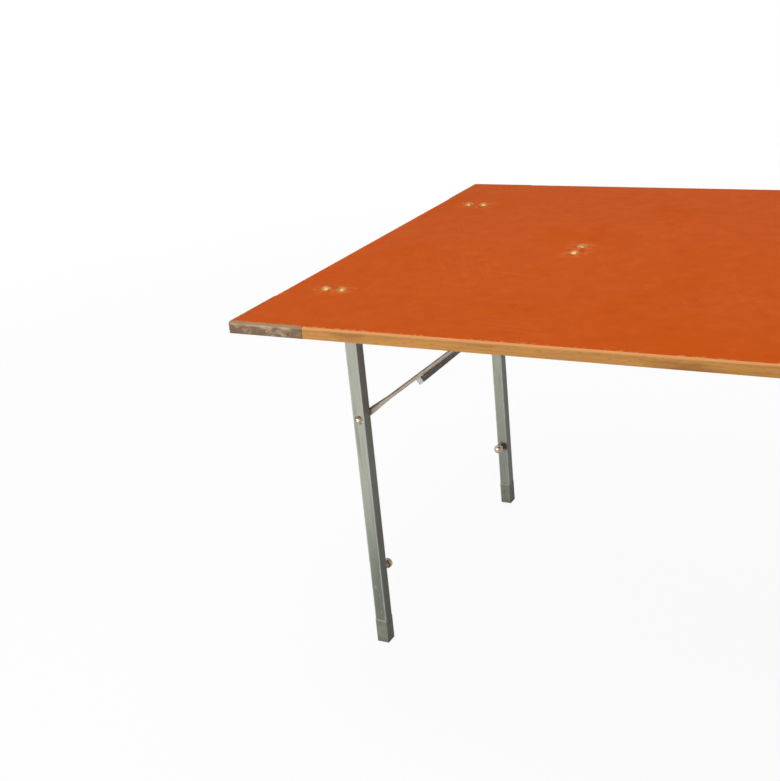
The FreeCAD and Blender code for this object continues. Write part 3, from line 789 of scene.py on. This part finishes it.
@dataclass(frozen=True)
class LegPaint(Paint):
    """The legs' paint, with a pale, bluish painted highlight along the tubes' corners."""

    # painted highlight: the pale bluish tone along the tubes' corners
    bare_and_highlight: Colour = (196, 208, 202)
    tube_x: float = 0.0
    tube_y: float = 0.0
    tube_side: float = 25.0 * MM
    highlight_start: float = 2.2 * MM
    highlight_full: float = 0.6 * MM
    highlight_share: float = 0.55
    wander: float = 2.4 * MM

    def paint(self, graph: Graph, place: Socket) -> Feeds:
        """The paint, with a ragged painted highlight that follows the four corners of each tube.

        Args:
            graph: The material's nodes.
            place: The point on the piece.

        Returns:
            What goes into the shader.
        """
        feeds = super().paint(graph, place)
        reach: Feed = 0.0
        for axis, middle in (("X", self.tube_x), ("Y", self.tube_y)):
            across = graph.math("ABSOLUTE", graph.beyond(place, axis, middle))
            reach = graph.math("ADD", reach, across)
        ragged = graph.raised(reach, graph.noise(place, 55.0, detail=4.0), self.wander)
        start, full = self.tube_side - self.highlight_start, self.tube_side - self.highlight_full
        # painted highlight along each corner, in the mask named rubbed
        rubbed = graph.band(ragged, start, full, 0.0, self.highlight_share)
        feeds["Base Color"] = graph.mix(rubbed, feeds["Base Color"], self.bare_and_highlight)
        return feeds


@dataclass(frozen=True)
class FootPlastic(Finish):
    """Moulded foot: finely grained, scuffed at the sole, rubbed pale at its upper rim."""

    base: Colour = (122, 125, 111)
    worn: Colour = (158, 154, 138)
    dirt: Colour = (94, 93, 79)
    dirt_low: float = 8.0 * MM
    dirt_high: float = 26.0 * MM
    dirt_wander: float = 20.0 * MM
    rim_low: float = 47.5 * MM
    rim_high: float = 49.5 * MM

    def paint(self, graph: Graph, place: Socket) -> Feeds:
        """Grain, dirt that rises from the sole, and the pale rim.

        Args:
            graph: The material's nodes.
            place: The point on the piece.

        Returns:
            What goes into the shader.
        """
        height = graph.axis(place, "Z")
        cloud = graph.noise(place, 80.0, detail=5.0, blur=0.6)
        colour = graph.mix(graph.band(cloud, 0.4, 0.7, 0.0, 0.5), self.base, self.dirt)
        ragged = graph.raised(height, cloud, self.dirt_wander)
        colour = graph.mix(graph.band(ragged, self.dirt_low, self.dirt_high, 0.75, 0.0), colour, self.dirt)
        colour = graph.mix(graph.band(height, self.rim_low, self.rim_high), colour, self.worn)
        texture = graph.noise(place, 1400.0, detail=2.0)
        return {
            "Base Color": colour,
            "Roughness": graph.band(cloud, 0.3, 0.7, 0.55, 0.72),
            "Normal": graph.bump(texture, depth=0.05 * MM),
        }


def finished(name: str, shape: Shape, finish: Finish, body: str, slot: str, *nodes: str) -> None:
    """Turns a modelled shape into a piece of the table.

    Args:
        name: The piece's name.
        shape: The modelled shape, which is used up.
        finish: Its finish.
        body: The body that it rides on.
        slot: Not used.
        nodes: The CAD nodes that it stands for.
    """
    bmesh.ops.remove_doubles(shape, verts=shape.verts, dist=2 * MERGE)
    bmesh.ops.recalc_face_normals(shape, faces=shape.faces)
    mesh = bpy.data.meshes.new(name)
    shape.to_mesh(mesh)
    shape.free()
    mesh.materials.append(finish.material())
    mesh.shade_smooth()
    mesh.set_sharp_from_angle(angle=SHARP_ANGLE)
    piece = stand(name, mesh)
    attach(piece, body)
    if nodes:
        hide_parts(*nodes)
    LOG.info("%s rides on %s, %d faces", name, body, len(mesh.polygons))


def aimed(place: Vector, direction: Vector, turn: float = 0.0) -> Matrix:
    """The matrix that stands a shape drawn along +Z at a place, turned and then aimed in a direction."""
    aim = direction.to_track_quat("Z", "Y").to_matrix().to_4x4()
    return Matrix.Translation(place) @ aim @ Matrix.Rotation(turn, 4, "Z")


def spin_round(own: Shape, steps: int) -> None:
    """Spins a shape's lines once round the Z axis and closes the seam.

    Args:
        own: The shape, with nothing but the lines.
        steps: The number of steps round.
    """
    lines = own.verts[:] + own.edges[:]
    bmesh.ops.spin(
        own, geom=lines, cent=(0, 0, 0), axis=(0, 0, 1), angle=FULL_TURN, steps=steps, use_merge=True
    )
    bmesh.ops.remove_doubles(own, verts=own.verts, dist=MERGE)


def extrude_up(own: Shape, faces: list[bmesh.types.BMFace], height: float) -> None:
    """Extrudes faces along Z.

    Args:
        own: The shape that they belong to.
        faces: The faces.
        height: How far they go.
    """
    made = bmesh.ops.extrude_face_region(own, geom=faces)["geom"]
    verts = [part for part in made if isinstance(part, bmesh.types.BMVert)]
    bmesh.ops.translate(own, verts=verts, vec=(0.0, 0.0, height))


def add_turned(shape: Shape, profile: list[tuple[float, float]], place: Matrix, steps: int) -> list[Any]:
    """Spins a profile about its axis into a closed solid.

    Args:
        shape: The shape that the solid is added to.
        profile: Radius and height of each corner, from the axis round to the axis.
        place: Where the solid goes.
        steps: The number of steps round.

    Returns:
        The solid's vertices.
    """
    own = bmesh.new()
    points = [own.verts.new((radius, 0.0, height)) for radius, height in profile]
    for pair in zip(points, points[1:]):
        own.edges.new(pair)
    spin_round(own, steps)
    return add_copy(shape, own, place)


def add_copy(shape: Shape, own: Shape, place: Matrix) -> list[Any]:
    """Moves a small shape into a larger one.

    Args:
        shape: The shape that it is added to.
        own: The small shape, which is used up.
        place: Where it goes.

    Returns:
        The new vertices.
    """
    bmesh.ops.recalc_face_normals(own, faces=own.faces)
    bmesh.ops.transform(own, matrix=place, verts=own.verts)
    store = bpy.data.meshes.new("part")
    own.to_mesh(store)
    own.free()
    before = len(shape.verts)
    shape.from_mesh(store)
    bpy.data.meshes.remove(store)
    shape.verts.ensure_lookup_table()
    return shape.verts[before:]


def arc(radius: float, height: float, low: float, steps: int) -> list[tuple[float, float]]:
    """The profile of a shallow dome, from its rim to its top.

    Args:
        radius: The dome's radius at its rim.
        height: Its height.
        low: The height of its rim.
        steps: The number of straight runs.

    Returns:
        Radius and height of each point.
    """
    sphere = (radius * radius + height * height) / (2.0 * height)
    start = math.asin(radius / sphere)
    points = []
    for step in range(steps + 1):
        angle = start * (1.0 - step / steps)
        points.append((sphere * math.sin(angle), low + height - sphere + sphere * math.cos(angle)))
    return points


# worn plating whose dark dull tone also stands for dark surroundings reflected in the bolt heads (painted
# reflection)
BOLT_PLATING = Metal(
    "worn_zinc", bright=(208, 196, 176), dull=(122, 108, 84), metallic=0.85, smooth=0.24, rough=0.42
)
BOSS_PAINT = Paint("boss_grey_paint")
FOOT_PLASTIC = FootPlastic("foot_grey_plastic")
FOOT_TUBE_PLATING = Metal(
    "foot_tube_plating",
    bright=(152, 154, 150),
    dull=(124, 126, 121),
    metallic=0.35,
    smooth=0.42,
    rust_cover=0.2,
)


@dataclass
class TableTop:
    """The laminated board with its wood edges."""

    top_finish: str = "orange_laminate_worn"
    underside_finish: str = "underside_laminate_worn"

    def dress(self) -> None:
        """Gives the board's parts their finishes."""
        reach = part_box("top_laminate")[1]
        heads = [(*centre(box).xy, reach.z) for box in solid_boxes("top_bolts")]
        sides = {"half_length": reach.x, "half_width": reach.y}
        Laminate(self.top_finish, bolts=tuple(heads), **sides).dress("top_laminate")
        Laminate(
            self.underside_finish, base=(176, 74, 22), deep=(164, 66, 18), pale=(184, 84, 30), **sides
        ).dress("underside_laminate")
        EdgeWood("edge_wood_long").dress("edge_lipping_front", "edge_lipping_back")
        EdgeWood("edge_wood_short", grain=GrainAxis.ACROSS).dress("edge_lipping_left", "edge_lipping_right")
        CoreBoard("core_board_raw").dress("table_core")


@dataclass
class CornerGuards:
    """The steel corner strips and their slotted screws."""

    dome_height: float = 1.4 * MM
    slot_length: float = 5.2 * MM
    slot_width: float = 1.0 * MM
    slot_depth: float = 0.6 * MM
    stub_length: float = 1.2 * MM
    steps: int = 24
    dome_steps: int = 5
    slot_seed: int = 4

    def dress(self) -> None:
        """Gives the strips their weathering, with a stain at each screw."""
        for corner in corner_names():
            low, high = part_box(f"corner_guard_{corner}")
            places = []
            for screw in solid_boxes("guard_screws"):
                middle = centre(screw)
                if low.x <= middle.x <= high.x and low.y <= middle.y <= high.y:
                    places.append(tuple(self.seat(*screw)[0]))
            GuardSteel(f"guard_steel_{corner}", screws=tuple(places)).dress(f"corner_guard_{corner}")

    def seat(self, low: Vector, high: Vector) -> tuple[Vector, Vector]:
        """Finds where a screw's head sits.

        Args:
            low: The lowest corner of the screw's box.
            high: Its highest corner.

        Returns:
            The middle of the head's flat side, and the way that the head faces.
        """
        size = high - low
        middle = (low + high) / 2
        along = Vector((1.0, 0.0, 0.0)) if size.x > size.y else Vector((0.0, 1.0, 0.0))
        outward = along * math.copysign(1.0, middle.dot(along))
        return middle + outward * (max(size.x, size.y) / 2 - self.dome_height), outward

    def build(self) -> None:
        """Models the screws with slots that each point their own way."""
        turns = random.Random(self.slot_seed)
        shape = bmesh.new()
        for low, high in solid_boxes("guard_screws"):
            place, outward = self.seat(low, high)
            radius = (high - low).z / 2
            self.add_screw(shape, radius, aimed(place, outward, turns.uniform(0.0, math.pi)))
        finish = Metal(
            "rusty_screw_steel", bright=(148, 122, 98), dull=(118, 90, 68), metallic=0.3, rust_cover=0.42
        )
        finished("slotted_guard_screws", shape, finish, "table_top", "rusty_screw", "guard_screws")

    def add_screw(self, shape: Shape, radius: float, place: Matrix) -> None:
        """Adds one screw's domed head, with a slot sunk in it, on a short stub.

        Args:
            shape: The shape that it is added to.
            radius: The head's radius.
            place: Where the head's flat side goes.
        """
        own = bmesh.new()
        profile = [(0.0, -self.stub_length), (radius / 2, -self.stub_length), (radius / 2, 0.0)]
        profile += arc(radius, self.dome_height, 0.0, self.dome_steps)
        add_turned(own, profile, Matrix.Identity(4), self.steps)
        for size, normal in ((self.slot_length, (1, 0, 0)), (self.slot_width, (0, 1, 0))):
            for side in (-1.0, 1.0):
                everything = list(own.verts) + list(own.edges) + list(own.faces)
                point = Vector(normal) * (side * size / 2)
                bmesh.ops.bisect_plane(own, geom=everything, plane_co=point, plane_no=normal, dist=MERGE)
        sunk = []
        for face in own.faces:
            middle = face.calc_center_median()
            inside = abs(middle.x) < self.slot_length / 2 and abs(middle.y) < self.slot_width / 2
            if inside and middle.z > 0.0:
                sunk.append(face)
        extrude_up(own, sunk, -self.slot_depth)
        add_copy(shape, own, place)


@dataclass
class Nuts:
    """Hexagon lock nuts with a plastic ring, for every bolt of the table."""

    bore: float = 4.1 * MM
    bevel: float = 0.7 * MM
    ring_radius: float = 5.4 * MM
    ring_height: float = 1.1 * MM
    bore_margin: float = 1.2
    sides: int = 6
    steps: int = 24

    def build(self) -> None:
        """Models the nuts of each node in the place of its plain ones."""
        self.make("top_lock_nuts", "table_top", "top_nuts")
        self.make("hinge_lock_nuts", "table_top", "hinge_nuts")
        for end in End:
            self.make(f"brace_lock_nuts_{end.label}", f"legs_{end.label}", f"brace_nuts_{end.label}")

    def make(self, name: str, body: str, node: str) -> None:
        """Models one node's nuts.

        Args:
            name: The piece's name.
            body: The body that they ride on.
            node: The node of the plain nuts.
        """
        shape = bmesh.new()
        for low, high in solid_boxes(node):
            size = high - low
            middle = (low + high) / 2
            if size.z < min(size.x, size.y):
                self.add_nut(shape, size.x / 2, size.z, aimed(middle, DOWN))
            else:
                self.add_nut(shape, max(size.x, size.z) / 2, size.y, aimed(middle, inward(middle)))
        finished(name, shape, BOLT_PLATING, body, "plated_bolt", node)

    def add_nut(self, shape: Shape, radius: float, height: float, place: Matrix) -> None:
        """Adds one nut whose ring faces +Z.

        Args:
            shape: The shape that it is added to.
            radius: The radius of the hexagon's corners.
            height: The height of the nut with its ring.
            place: Where its middle goes.
        """
        body = height - self.ring_height
        for outer, segments, low, tall in (
            (radius, self.sides, -height / 2, body),
            (self.ring_radius, self.steps, -height / 2 + body, self.ring_height),
        ):
            own = bmesh.new()
            rims = bmesh.ops.create_circle(own, segments=segments, radius=outer)["verts"]
            bores = bmesh.ops.create_circle(own, segments=self.steps, radius=self.bore)["verts"]
            bmesh.ops.bridge_loops(own, edges=own.edges[:])
            bmesh.ops.translate(own, verts=rims + bores, vec=(0.0, 0.0, low))
            extrude_up(own, own.faces[:], tall)
            bmesh.ops.recalc_face_normals(own, faces=own.faces)
            limit = (self.bore + outer) / 2 if segments == self.steps else self.bore * self.bore_margin
            edges = []
            for edge in own.edges:
                ends = [vertex.co for vertex in edge.verts]
                flat = abs(ends[0].z - ends[1].z) < tall / 2
                if flat and all(Vector((end.x, end.y)).length > limit for end in ends):
                    edges.append(edge)
            width = min(self.bevel, tall / 3)
            bmesh.ops.bevel(
                own, geom=edges, offset=width, affect="EDGES", segments=2, profile=0.5, material=-1
            )
            add_copy(shape, own, place)


@dataclass
class ThumbScrews:
    """The feet's clamp screws: threaded shank, collar and knurled, domed knob."""

    shank: float = 4.0 * MM
    collar: float = 6.0 * MM
    collar_length: float = 4.0 * MM
    knob: float = 9.6 * MM
    ridge: float = 0.4 * MM
    knob_length: float = 9.0 * MM
    dome: float = 5.0 * MM
    ease: float = 0.8 * MM
    pitch: float = 1.25 * MM
    thread_depth: float = 0.5 * MM
    crest: float = 0.75
    root: float = 1.25
    steps: int = 56
    dome_steps: int = 7

    def build(self) -> None:
        """Models a screw at each leg, in the place of the plain one."""
        finish = Metal(
            "thumb_screw_plating", bright=(206, 184, 160), dull=(166, 140, 116), metallic=0.85, smooth=0.22
        )
        for corner in corner_names():
            node = f"clamp_screw_{corner}"
            low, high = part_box(node)
            middle = (low + high) / 2
            course = inward(middle)
            length = high.y - low.y
            shape = bmesh.new()
            self.add_screw(shape, length, aimed(middle - course * length / 2, course))
            finished(f"thumb_screw_{corner}", shape, finish, f"clamp_{corner}", "thumb_screw_metal", node)

    def add_screw(self, shape: Shape, length: float, place: Matrix) -> None:
        """Adds one screw that starts at its tip and points along +Z.

        Args:
            shape: The shape that it is added to.
            length: Its whole length.
            place: Where its tip goes.
        """
        knob_low = length - self.dome - self.knob_length
        collar_low = knob_low - self.collar_length
        profile = [(0.0, 0.0), (self.shank - self.thread_depth, 0.0)]
        turns = int((collar_low - self.pitch) / self.pitch)
        for turn in range(turns):
            profile.append((self.shank, (turn + self.crest) * self.pitch))
            profile.append((self.shank - self.thread_depth, (turn + self.root) * self.pitch))
        profile += [(self.shank, collar_low), (self.collar - self.ease / 2, collar_low)]
        profile += [(self.collar, collar_low + self.ease / 2), (self.collar, knob_low)]
        profile += [(self.knob - self.ease, knob_low), (self.knob, knob_low + self.ease)]
        profile += [(self.knob, length - self.dome - self.ease)]
        profile += arc(self.knob - self.ease / 2, self.dome, length - self.dome, self.dome_steps)
        verts = add_turned(shape, profile, Matrix.Identity(4), self.steps)
        for vertex in verts:
            radius = Vector((vertex.co.x, vertex.co.y)).length
            column = round(math.atan2(vertex.co.y, vertex.co.x) / FULL_TURN * self.steps)
            if abs(radius - self.knob) < self.ease / 4 and column % 2:
                vertex.co.xy *= (self.knob + self.ridge) / self.knob
        bmesh.ops.transform(shape, matrix=place, verts=shape.verts)


@dataclass
class Legs:
    """A pair of leg tubes with their feet and welded clamp bosses."""

    end: End
    # lower end of the leg paint: the back legs' is lighter, painted light where the light falls off towards
    # the back
    front_grime: Colour = (116, 121, 110)
    back_grime: Colour = (150, 153, 141)
    bead: float = 1.5 * MM
    bead_sides: int = 8
    rise: float = 0.6 * MM
    lump: float = 0.35 * MM
    lumps: int = 11
    steps: int = 44

    def dress(self) -> None:
        """Gives the tubes, bosses, feet and bolts their finishes."""
        label = self.end.label
        for depth in Depth:
            tube = f"leg_tube_{label}_{depth.label}"
            low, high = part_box(tube)
            middle = (low + high) / 2
            # the back legs' copy of the paint is lighter at its lower end as painted light
            LegPaint(
                f"leg_{depth.label}_grey_paint",
                low=self.front_grime if depth is Depth.FRONT else self.back_grime,
                tube_x=abs(middle.x),
                tube_y=abs(middle.y),
                tube_side=high.x - low.x,
            ).dress(tube)
            FOOT_PLASTIC.dress(f"foot_cap_{label}_{depth.label}")
            FOOT_TUBE_PLATING.dress(f"foot_tube_{label}_{depth.label}")
        BOSS_PAINT.dress(f"clamp_bosses_{label}")
        BOLT_PLATING.dress(f"brace_bolts_{label}")

    def build(self) -> None:
        """Models the weld round each clamp boss where it meets its tube."""
        label = self.end.label
        shape = bmesh.new()
        for low, high in solid_boxes(f"clamp_bosses_{label}"):
            middle = (low + high) / 2
            course = inward(middle)
            root = middle - course * (high.y - low.y) / 2
            self.add_weld(shape, (high.x - low.x) / 2, aimed(root, course))
        finished(f"boss_welds_{label}", shape, BOSS_PAINT, f"legs_{label}", "leg_paint")

    def add_weld(self, shape: Shape, radius: float, place: Matrix) -> None:
        """Adds one lumpy ring of weld.

        Args:
            shape: The shape that it is added to.
            radius: The radius of the ring.
            place: Where the ring's middle goes.
        """
        own = bmesh.new()
        rim = bmesh.ops.create_circle(own, segments=self.bead_sides, radius=self.bead)["verts"]
        upright = Matrix.Translation((radius, 0.0, self.rise)) @ Matrix.Rotation(math.pi / 2, 4, "X")
        bmesh.ops.transform(own, matrix=upright, verts=rim)
        spin_round(own, self.steps)
        for vertex in own.verts:
            angle = math.atan2(vertex.co.y, vertex.co.x)
            middle = Vector((math.cos(angle) * radius, math.sin(angle) * radius, self.rise))
            swell = 1.0 + self.lump / self.bead * abs(math.sin(self.lumps * angle / 2))
            vertex.co = middle + (vertex.co - middle) * swell
            vertex.co.z = max(vertex.co.z, 0.0)
        add_copy(shape, own, place)


@dataclass
class Brace:
    """The folding brace at one end: arms, crossbar and rod, with the crossbar's welds."""

    end: End
    # the crossbar's plating is greyer and darker than the arms', partly as painted shade for its shaded side
    crossbar_bright: Colour = (192, 191, 183)
    crossbar_dull: Colour = (166, 164, 155)
    arm_radius: float = 4.0 * MM
    overhang: float = 9.0 * MM
    bead: float = 1.7 * MM
    bead_step: float = 1.9 * MM
    bead_count: int = 7

    def middle(self, node: str) -> Vector:
        """The middle of a CAD node."""
        return centre(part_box(node))

    def directions(self) -> tuple[Vector, Vector]:
        """Finds how the brace lies.

        Returns:
            The way from the legs to the rod, and the way up from the brace.
        """
        run = self.middle(f"brace_rod_{self.end.label}") - self.middle(f"brace_bolts_{self.end.label}")
        forward = run.normalized()
        upward = forward.cross(Vector((0.0, -float(self.end.value), 0.0)))
        return forward, upward

    def finish(self) -> BraceZinc:
        """The plating of this brace."""
        rod = self.middle(f"brace_rod_{self.end.label}")
        return BraceZinc(f"brace_zinc_{self.end.label}", middle=rod, upward=self.directions()[1])

    def crossbar_finish(self) -> BraceZinc:
        """The greyer, darker plating of the crossbar, whose darkness is partly painted shade."""
        name = f"crossbar_zinc_{self.end.label}"
        return replace(self.finish(), name=name, bright=self.crossbar_bright, dull=self.crossbar_dull)

    def dress(self) -> None:
        """Gives the bars worn plating with brown painted shade on top."""
        label = self.end.label
        for depth in Depth:
            self.finish().dress(f"brace_arm_{label}_{depth.label}")
        self.finish().dress(f"brace_rod_{label}")
        self.crossbar_finish().dress(f"brace_crossbar_{label}")

    def build(self) -> None:
        """Models the welds that hold the crossbar under the arms."""
        label = self.end.label
        forward, upward = self.directions()
        low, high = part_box(f"brace_crossbar_{label}")
        crossbar = (low + high) / 2
        rod = self.middle(f"brace_rod_{label}")
        lift = (rod - crossbar).dot(upward) - self.arm_radius
        shape = bmesh.new()
        for depth in Depth:
            across = Vector((0.0, float(depth.value), 0.0))
            seat = crossbar + upward * lift + across * ((high.y - low.y) / 2 - self.overhang)
            arm_low, arm_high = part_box(f"brace_arm_{label}_{depth.label}")
            spread = (arm_high.y - arm_low.y) / (arm_high - arm_low).xz.length
            course = (forward - across * spread).normalized()
            for side in (-1.0, 1.0):
                offset = course.cross(upward) * (side * self.arm_radius)
                self.add_weld(shape, seat + offset, course)
        finished(f"crossbar_welds_{label}", shape, self.finish(), f"brace_{label}", "brace_plating")

    def add_weld(self, shape: Shape, middle: Vector, course: Vector) -> None:
        """Adds one short weld as a row of beads that run into each other.

        Args:
            shape: The shape that it is added to.
            middle: The middle of the weld.
            course: The way that it runs.
        """
        for number in range(self.bead_count):
            place = middle + course * (self.bead_step * (number - (self.bead_count - 1) / 2))
            spot = Matrix.Translation(place)
            bmesh.ops.create_icosphere(shape, subdivisions=2, radius=self.bead, matrix=spot)


@dataclass
class Underside:
    """What is bolted under the top: leg brackets, brace keepers and catch springs."""

    rivet_radius: float = 2.4 * MM
    rivet_height: float = 1.2 * MM
    rivet_gap: float = 7.0 * MM
    rivet_inset: float = 4.5 * MM
    tab_height: float = 0.714
    steps: int = 20
    dome_steps: int = 5

    def build(self) -> None:
        """Models the rivets that hold each catch spring on its keeper."""
        shape = bmesh.new()
        for end in End:
            low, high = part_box(f"catch_spring_{end.label}")
            x = low.x + self.rivet_inset if end is End.LEFT else high.x - self.rivet_inset
            for side in (-1.0, 1.0):
                place = Vector((x, side * self.rivet_gap / 2, self.tab_height))
                profile = [(0.0, -self.rivet_height / 4), (self.rivet_radius, -self.rivet_height / 4)]
                profile += arc(self.rivet_radius, self.rivet_height, 0.0, self.dome_steps)
                add_turned(shape, profile, aimed(place, DOWN), self.steps)
        finished("spring_rivets", shape, BOLT_PLATING, "table_top", "plated_bolt")

    def dress(self) -> None:
        """Gives the pressings grey paint, the springs blued steel and the bolts plating."""
        paint = Paint(
            "bracket_grey_paint", high=(140, 142, 134), low=(128, 130, 122), low_end=0.6, high_end=0.72
        )
        for corner in corner_names():
            paint.dress(f"leg_bracket_{corner}")
        spring = Metal(
            "spring_blued_steel", bright=(120, 124, 134), dull=(84, 88, 98), metallic=0.9, rust_cover=0.3
        )
        for end in End:
            paint.dress(f"brace_keeper_{end.label}")
            spring.dress(f"catch_spring_{end.label}")
        BOLT_PLATING.dress("top_washers", "hinge_bolts")
        Metal(
            "yellowed_zinc",
            bright=(190, 140, 84),
            dull=(146, 106, 56),
            metallic=0.9,
            smooth=0.35,
            rust_cover=0.3,
        ).dress("top_bolts")


@dataclass(frozen=True)
class Softbox:
    """A rectangular soft light: its place, its aim, its width and height, and its power in watts."""

    name: str
    place: Point
    aim: Point
    size: tuple[float, float]
    power: float

    def hang(self) -> None:
        """Adds the light to the scene, where the camera doesn't see it."""
        lamp = bpy.data.lights.new(self.name, "AREA")
        lamp.shape = "RECTANGLE"
        lamp.size, lamp.size_y = self.size
        lamp.energy = self.power
        holder = stand(self.name, lamp)
        holder.visible_camera = False
        place = Vector(self.place)
        holder.matrix_world = aimed(place, place - Vector(self.aim))


@dataclass
class Studio:
    """The pale floor, soft light and the camera at the photograph's place."""

    image_width: int = 780
    image_height: int = 781
    focal_pixels: float = 1260.1
    principal_x: float = 430.0
    sensor: float = 36.0
    camera_place: Point = (0.2655, -2.2234, 1.3882)
    heading: float = math.radians(27.573)
    pitch: float = math.radians(21.196)
    roll: float = math.radians(5.072)
    floor_side: float = 60.0
    floor_glow: float = 0.92
    glow_reach: tuple[float, float] = (1.2, 5.0)
    floor_pale: Colour = (249, 249, 249)
    floor_dim: Colour = (118, 118, 118)
    ambient: float = 0.12
    fill: float = 1.3
    fill_from: Vector = Vector((-0.5, 0.87, 0.0))
    softboxes: tuple[Softbox, ...] = (
        Softbox("front_left_softbox", (-2.4, -4.4, 0.8), aim=(-0.5, 0.0, 0.5), size=(3.0, 1.4), power=162.0),
        Softbox("overhead_softbox", (-0.4, -0.5, 3.4), aim=(0.0, 0.1, 0.7), size=(3.6, 2.6), power=59.0),
        Softbox("right_end_fill", (2.5, 0.5, 0.6), aim=(0.9, 0.0, 0.5), size=(1.2, 1.0), power=6.0),
    )

    def build(self) -> None:
        """Makes the floor, the lights and the camera."""
        bpy.context.scene.view_settings.view_transform = "Standard"
        self.make_floor()
        self.make_world()
        for softbox in self.softboxes:
            softbox.hang()
        self.make_camera()

    def seen(self, graph: Graph) -> Socket:
        """Marks what the eye sees, straight, in a reflection or through something clear.

        Args:
            graph: The nodes of a material or the world.

        Returns:
            One where it is seen, else nothing.
        """
        path = graph.node("ShaderNodeLightPath").outputs
        shiny = graph.math("MAXIMUM", path["Is Glossy Ray"], path["Is Transmission Ray"])
        return graph.math("MAXIMUM", path["Is Camera Ray"], shiny)

    def make_floor(self) -> None:
        """Lays the floor: white to the eye, with the table's shadow on it, and pure white further out."""
        shape = bmesh.new()
        bmesh.ops.create_grid(shape, x_segments=1, y_segments=1, size=self.floor_side / 2)
        mesh = bpy.data.meshes.new("studio_floor")
        shape.to_mesh(mesh)
        shape.free()
        material = bpy.data.materials.new("studio_floor_white")
        graph = Graph.fresh(material)
        seen = self.seen(graph)
        colour = graph.mix(seen, self.floor_dim, self.floor_pale)
        matt = graph.node("ShaderNodeBsdfDiffuse", {"Color": colour}).outputs[0]
        glow = graph.node("ShaderNodeEmission", {"Strength": 1.0}).outputs[0]
        away = graph.distance(graph.place(), Vector())
        share = graph.times(seen, graph.band(away, *self.glow_reach, self.floor_glow, 1.0))
        both = graph.node("ShaderNodeMixShader", {0: share, 1: matt, 2: glow}).outputs[0]
        graph.node("ShaderNodeOutputMaterial", {"Surface": both})
        mesh.materials.append(material)
        stand("studio_floor", mesh)

    def make_world(self) -> None:
        """Sets the surroundings: white to the eye, dimmer as light, with a fill from the back left."""
        world = bpy.data.worlds.new("studio_world")
        graph = Graph.fresh(world)
        towards = graph.along(graph.node("ShaderNodeTexCoord").outputs["Generated"], self.fill_from)
        light = graph.band(towards, 0.0, 1.0, self.ambient, self.fill)
        strength = graph.band(self.seen(graph), 0.0, 1.0, light, 1.0)
        feeds = {"Color": linear((255, 255, 255)), "Strength": strength}
        sky = graph.node("ShaderNodeBackground", feeds).outputs[0]
        graph.node("ShaderNodeOutputWorld", {"Surface": sky})
        bpy.context.scene.world = world

    def make_camera(self) -> None:
        """Stands the camera where the photograph was taken from."""
        lens = bpy.data.cameras.new("photo_camera")
        long_side = max(self.image_width, self.image_height)
        lens.sensor_width = self.sensor
        lens.lens = self.focal_pixels / long_side * self.sensor
        lens.shift_x = (self.image_width / 2 - self.principal_x) / long_side
        camera = stand("photo_camera", lens)
        turn = Matrix.Rotation(self.heading, 4, "Z") @ Matrix.Rotation(math.pi / 2 - self.pitch, 4, "X")
        turn = turn @ Matrix.Rotation(-self.roll, 4, "Z")
        camera.matrix_world = Matrix.Translation(self.camera_place) @ turn
        bpy.context.scene.camera = camera


def main() -> None:
    """Dresses and details the table and sets the studio."""
    logging.basicConfig(level=logging.INFO, format="%(name)s: %(message)s")
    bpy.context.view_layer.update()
    TableTop().dress()
    guards = CornerGuards()
    guards.dress()
    guards.build()
    underside = Underside()
    underside.dress()
    underside.build()
    Nuts().build()
    for end in End:
        for pair in (Legs(end), Brace(end)):
            pair.dress()
            pair.build()
    ThumbScrews().build()
    Studio().build()


if __name__ == "__main__":
    main()
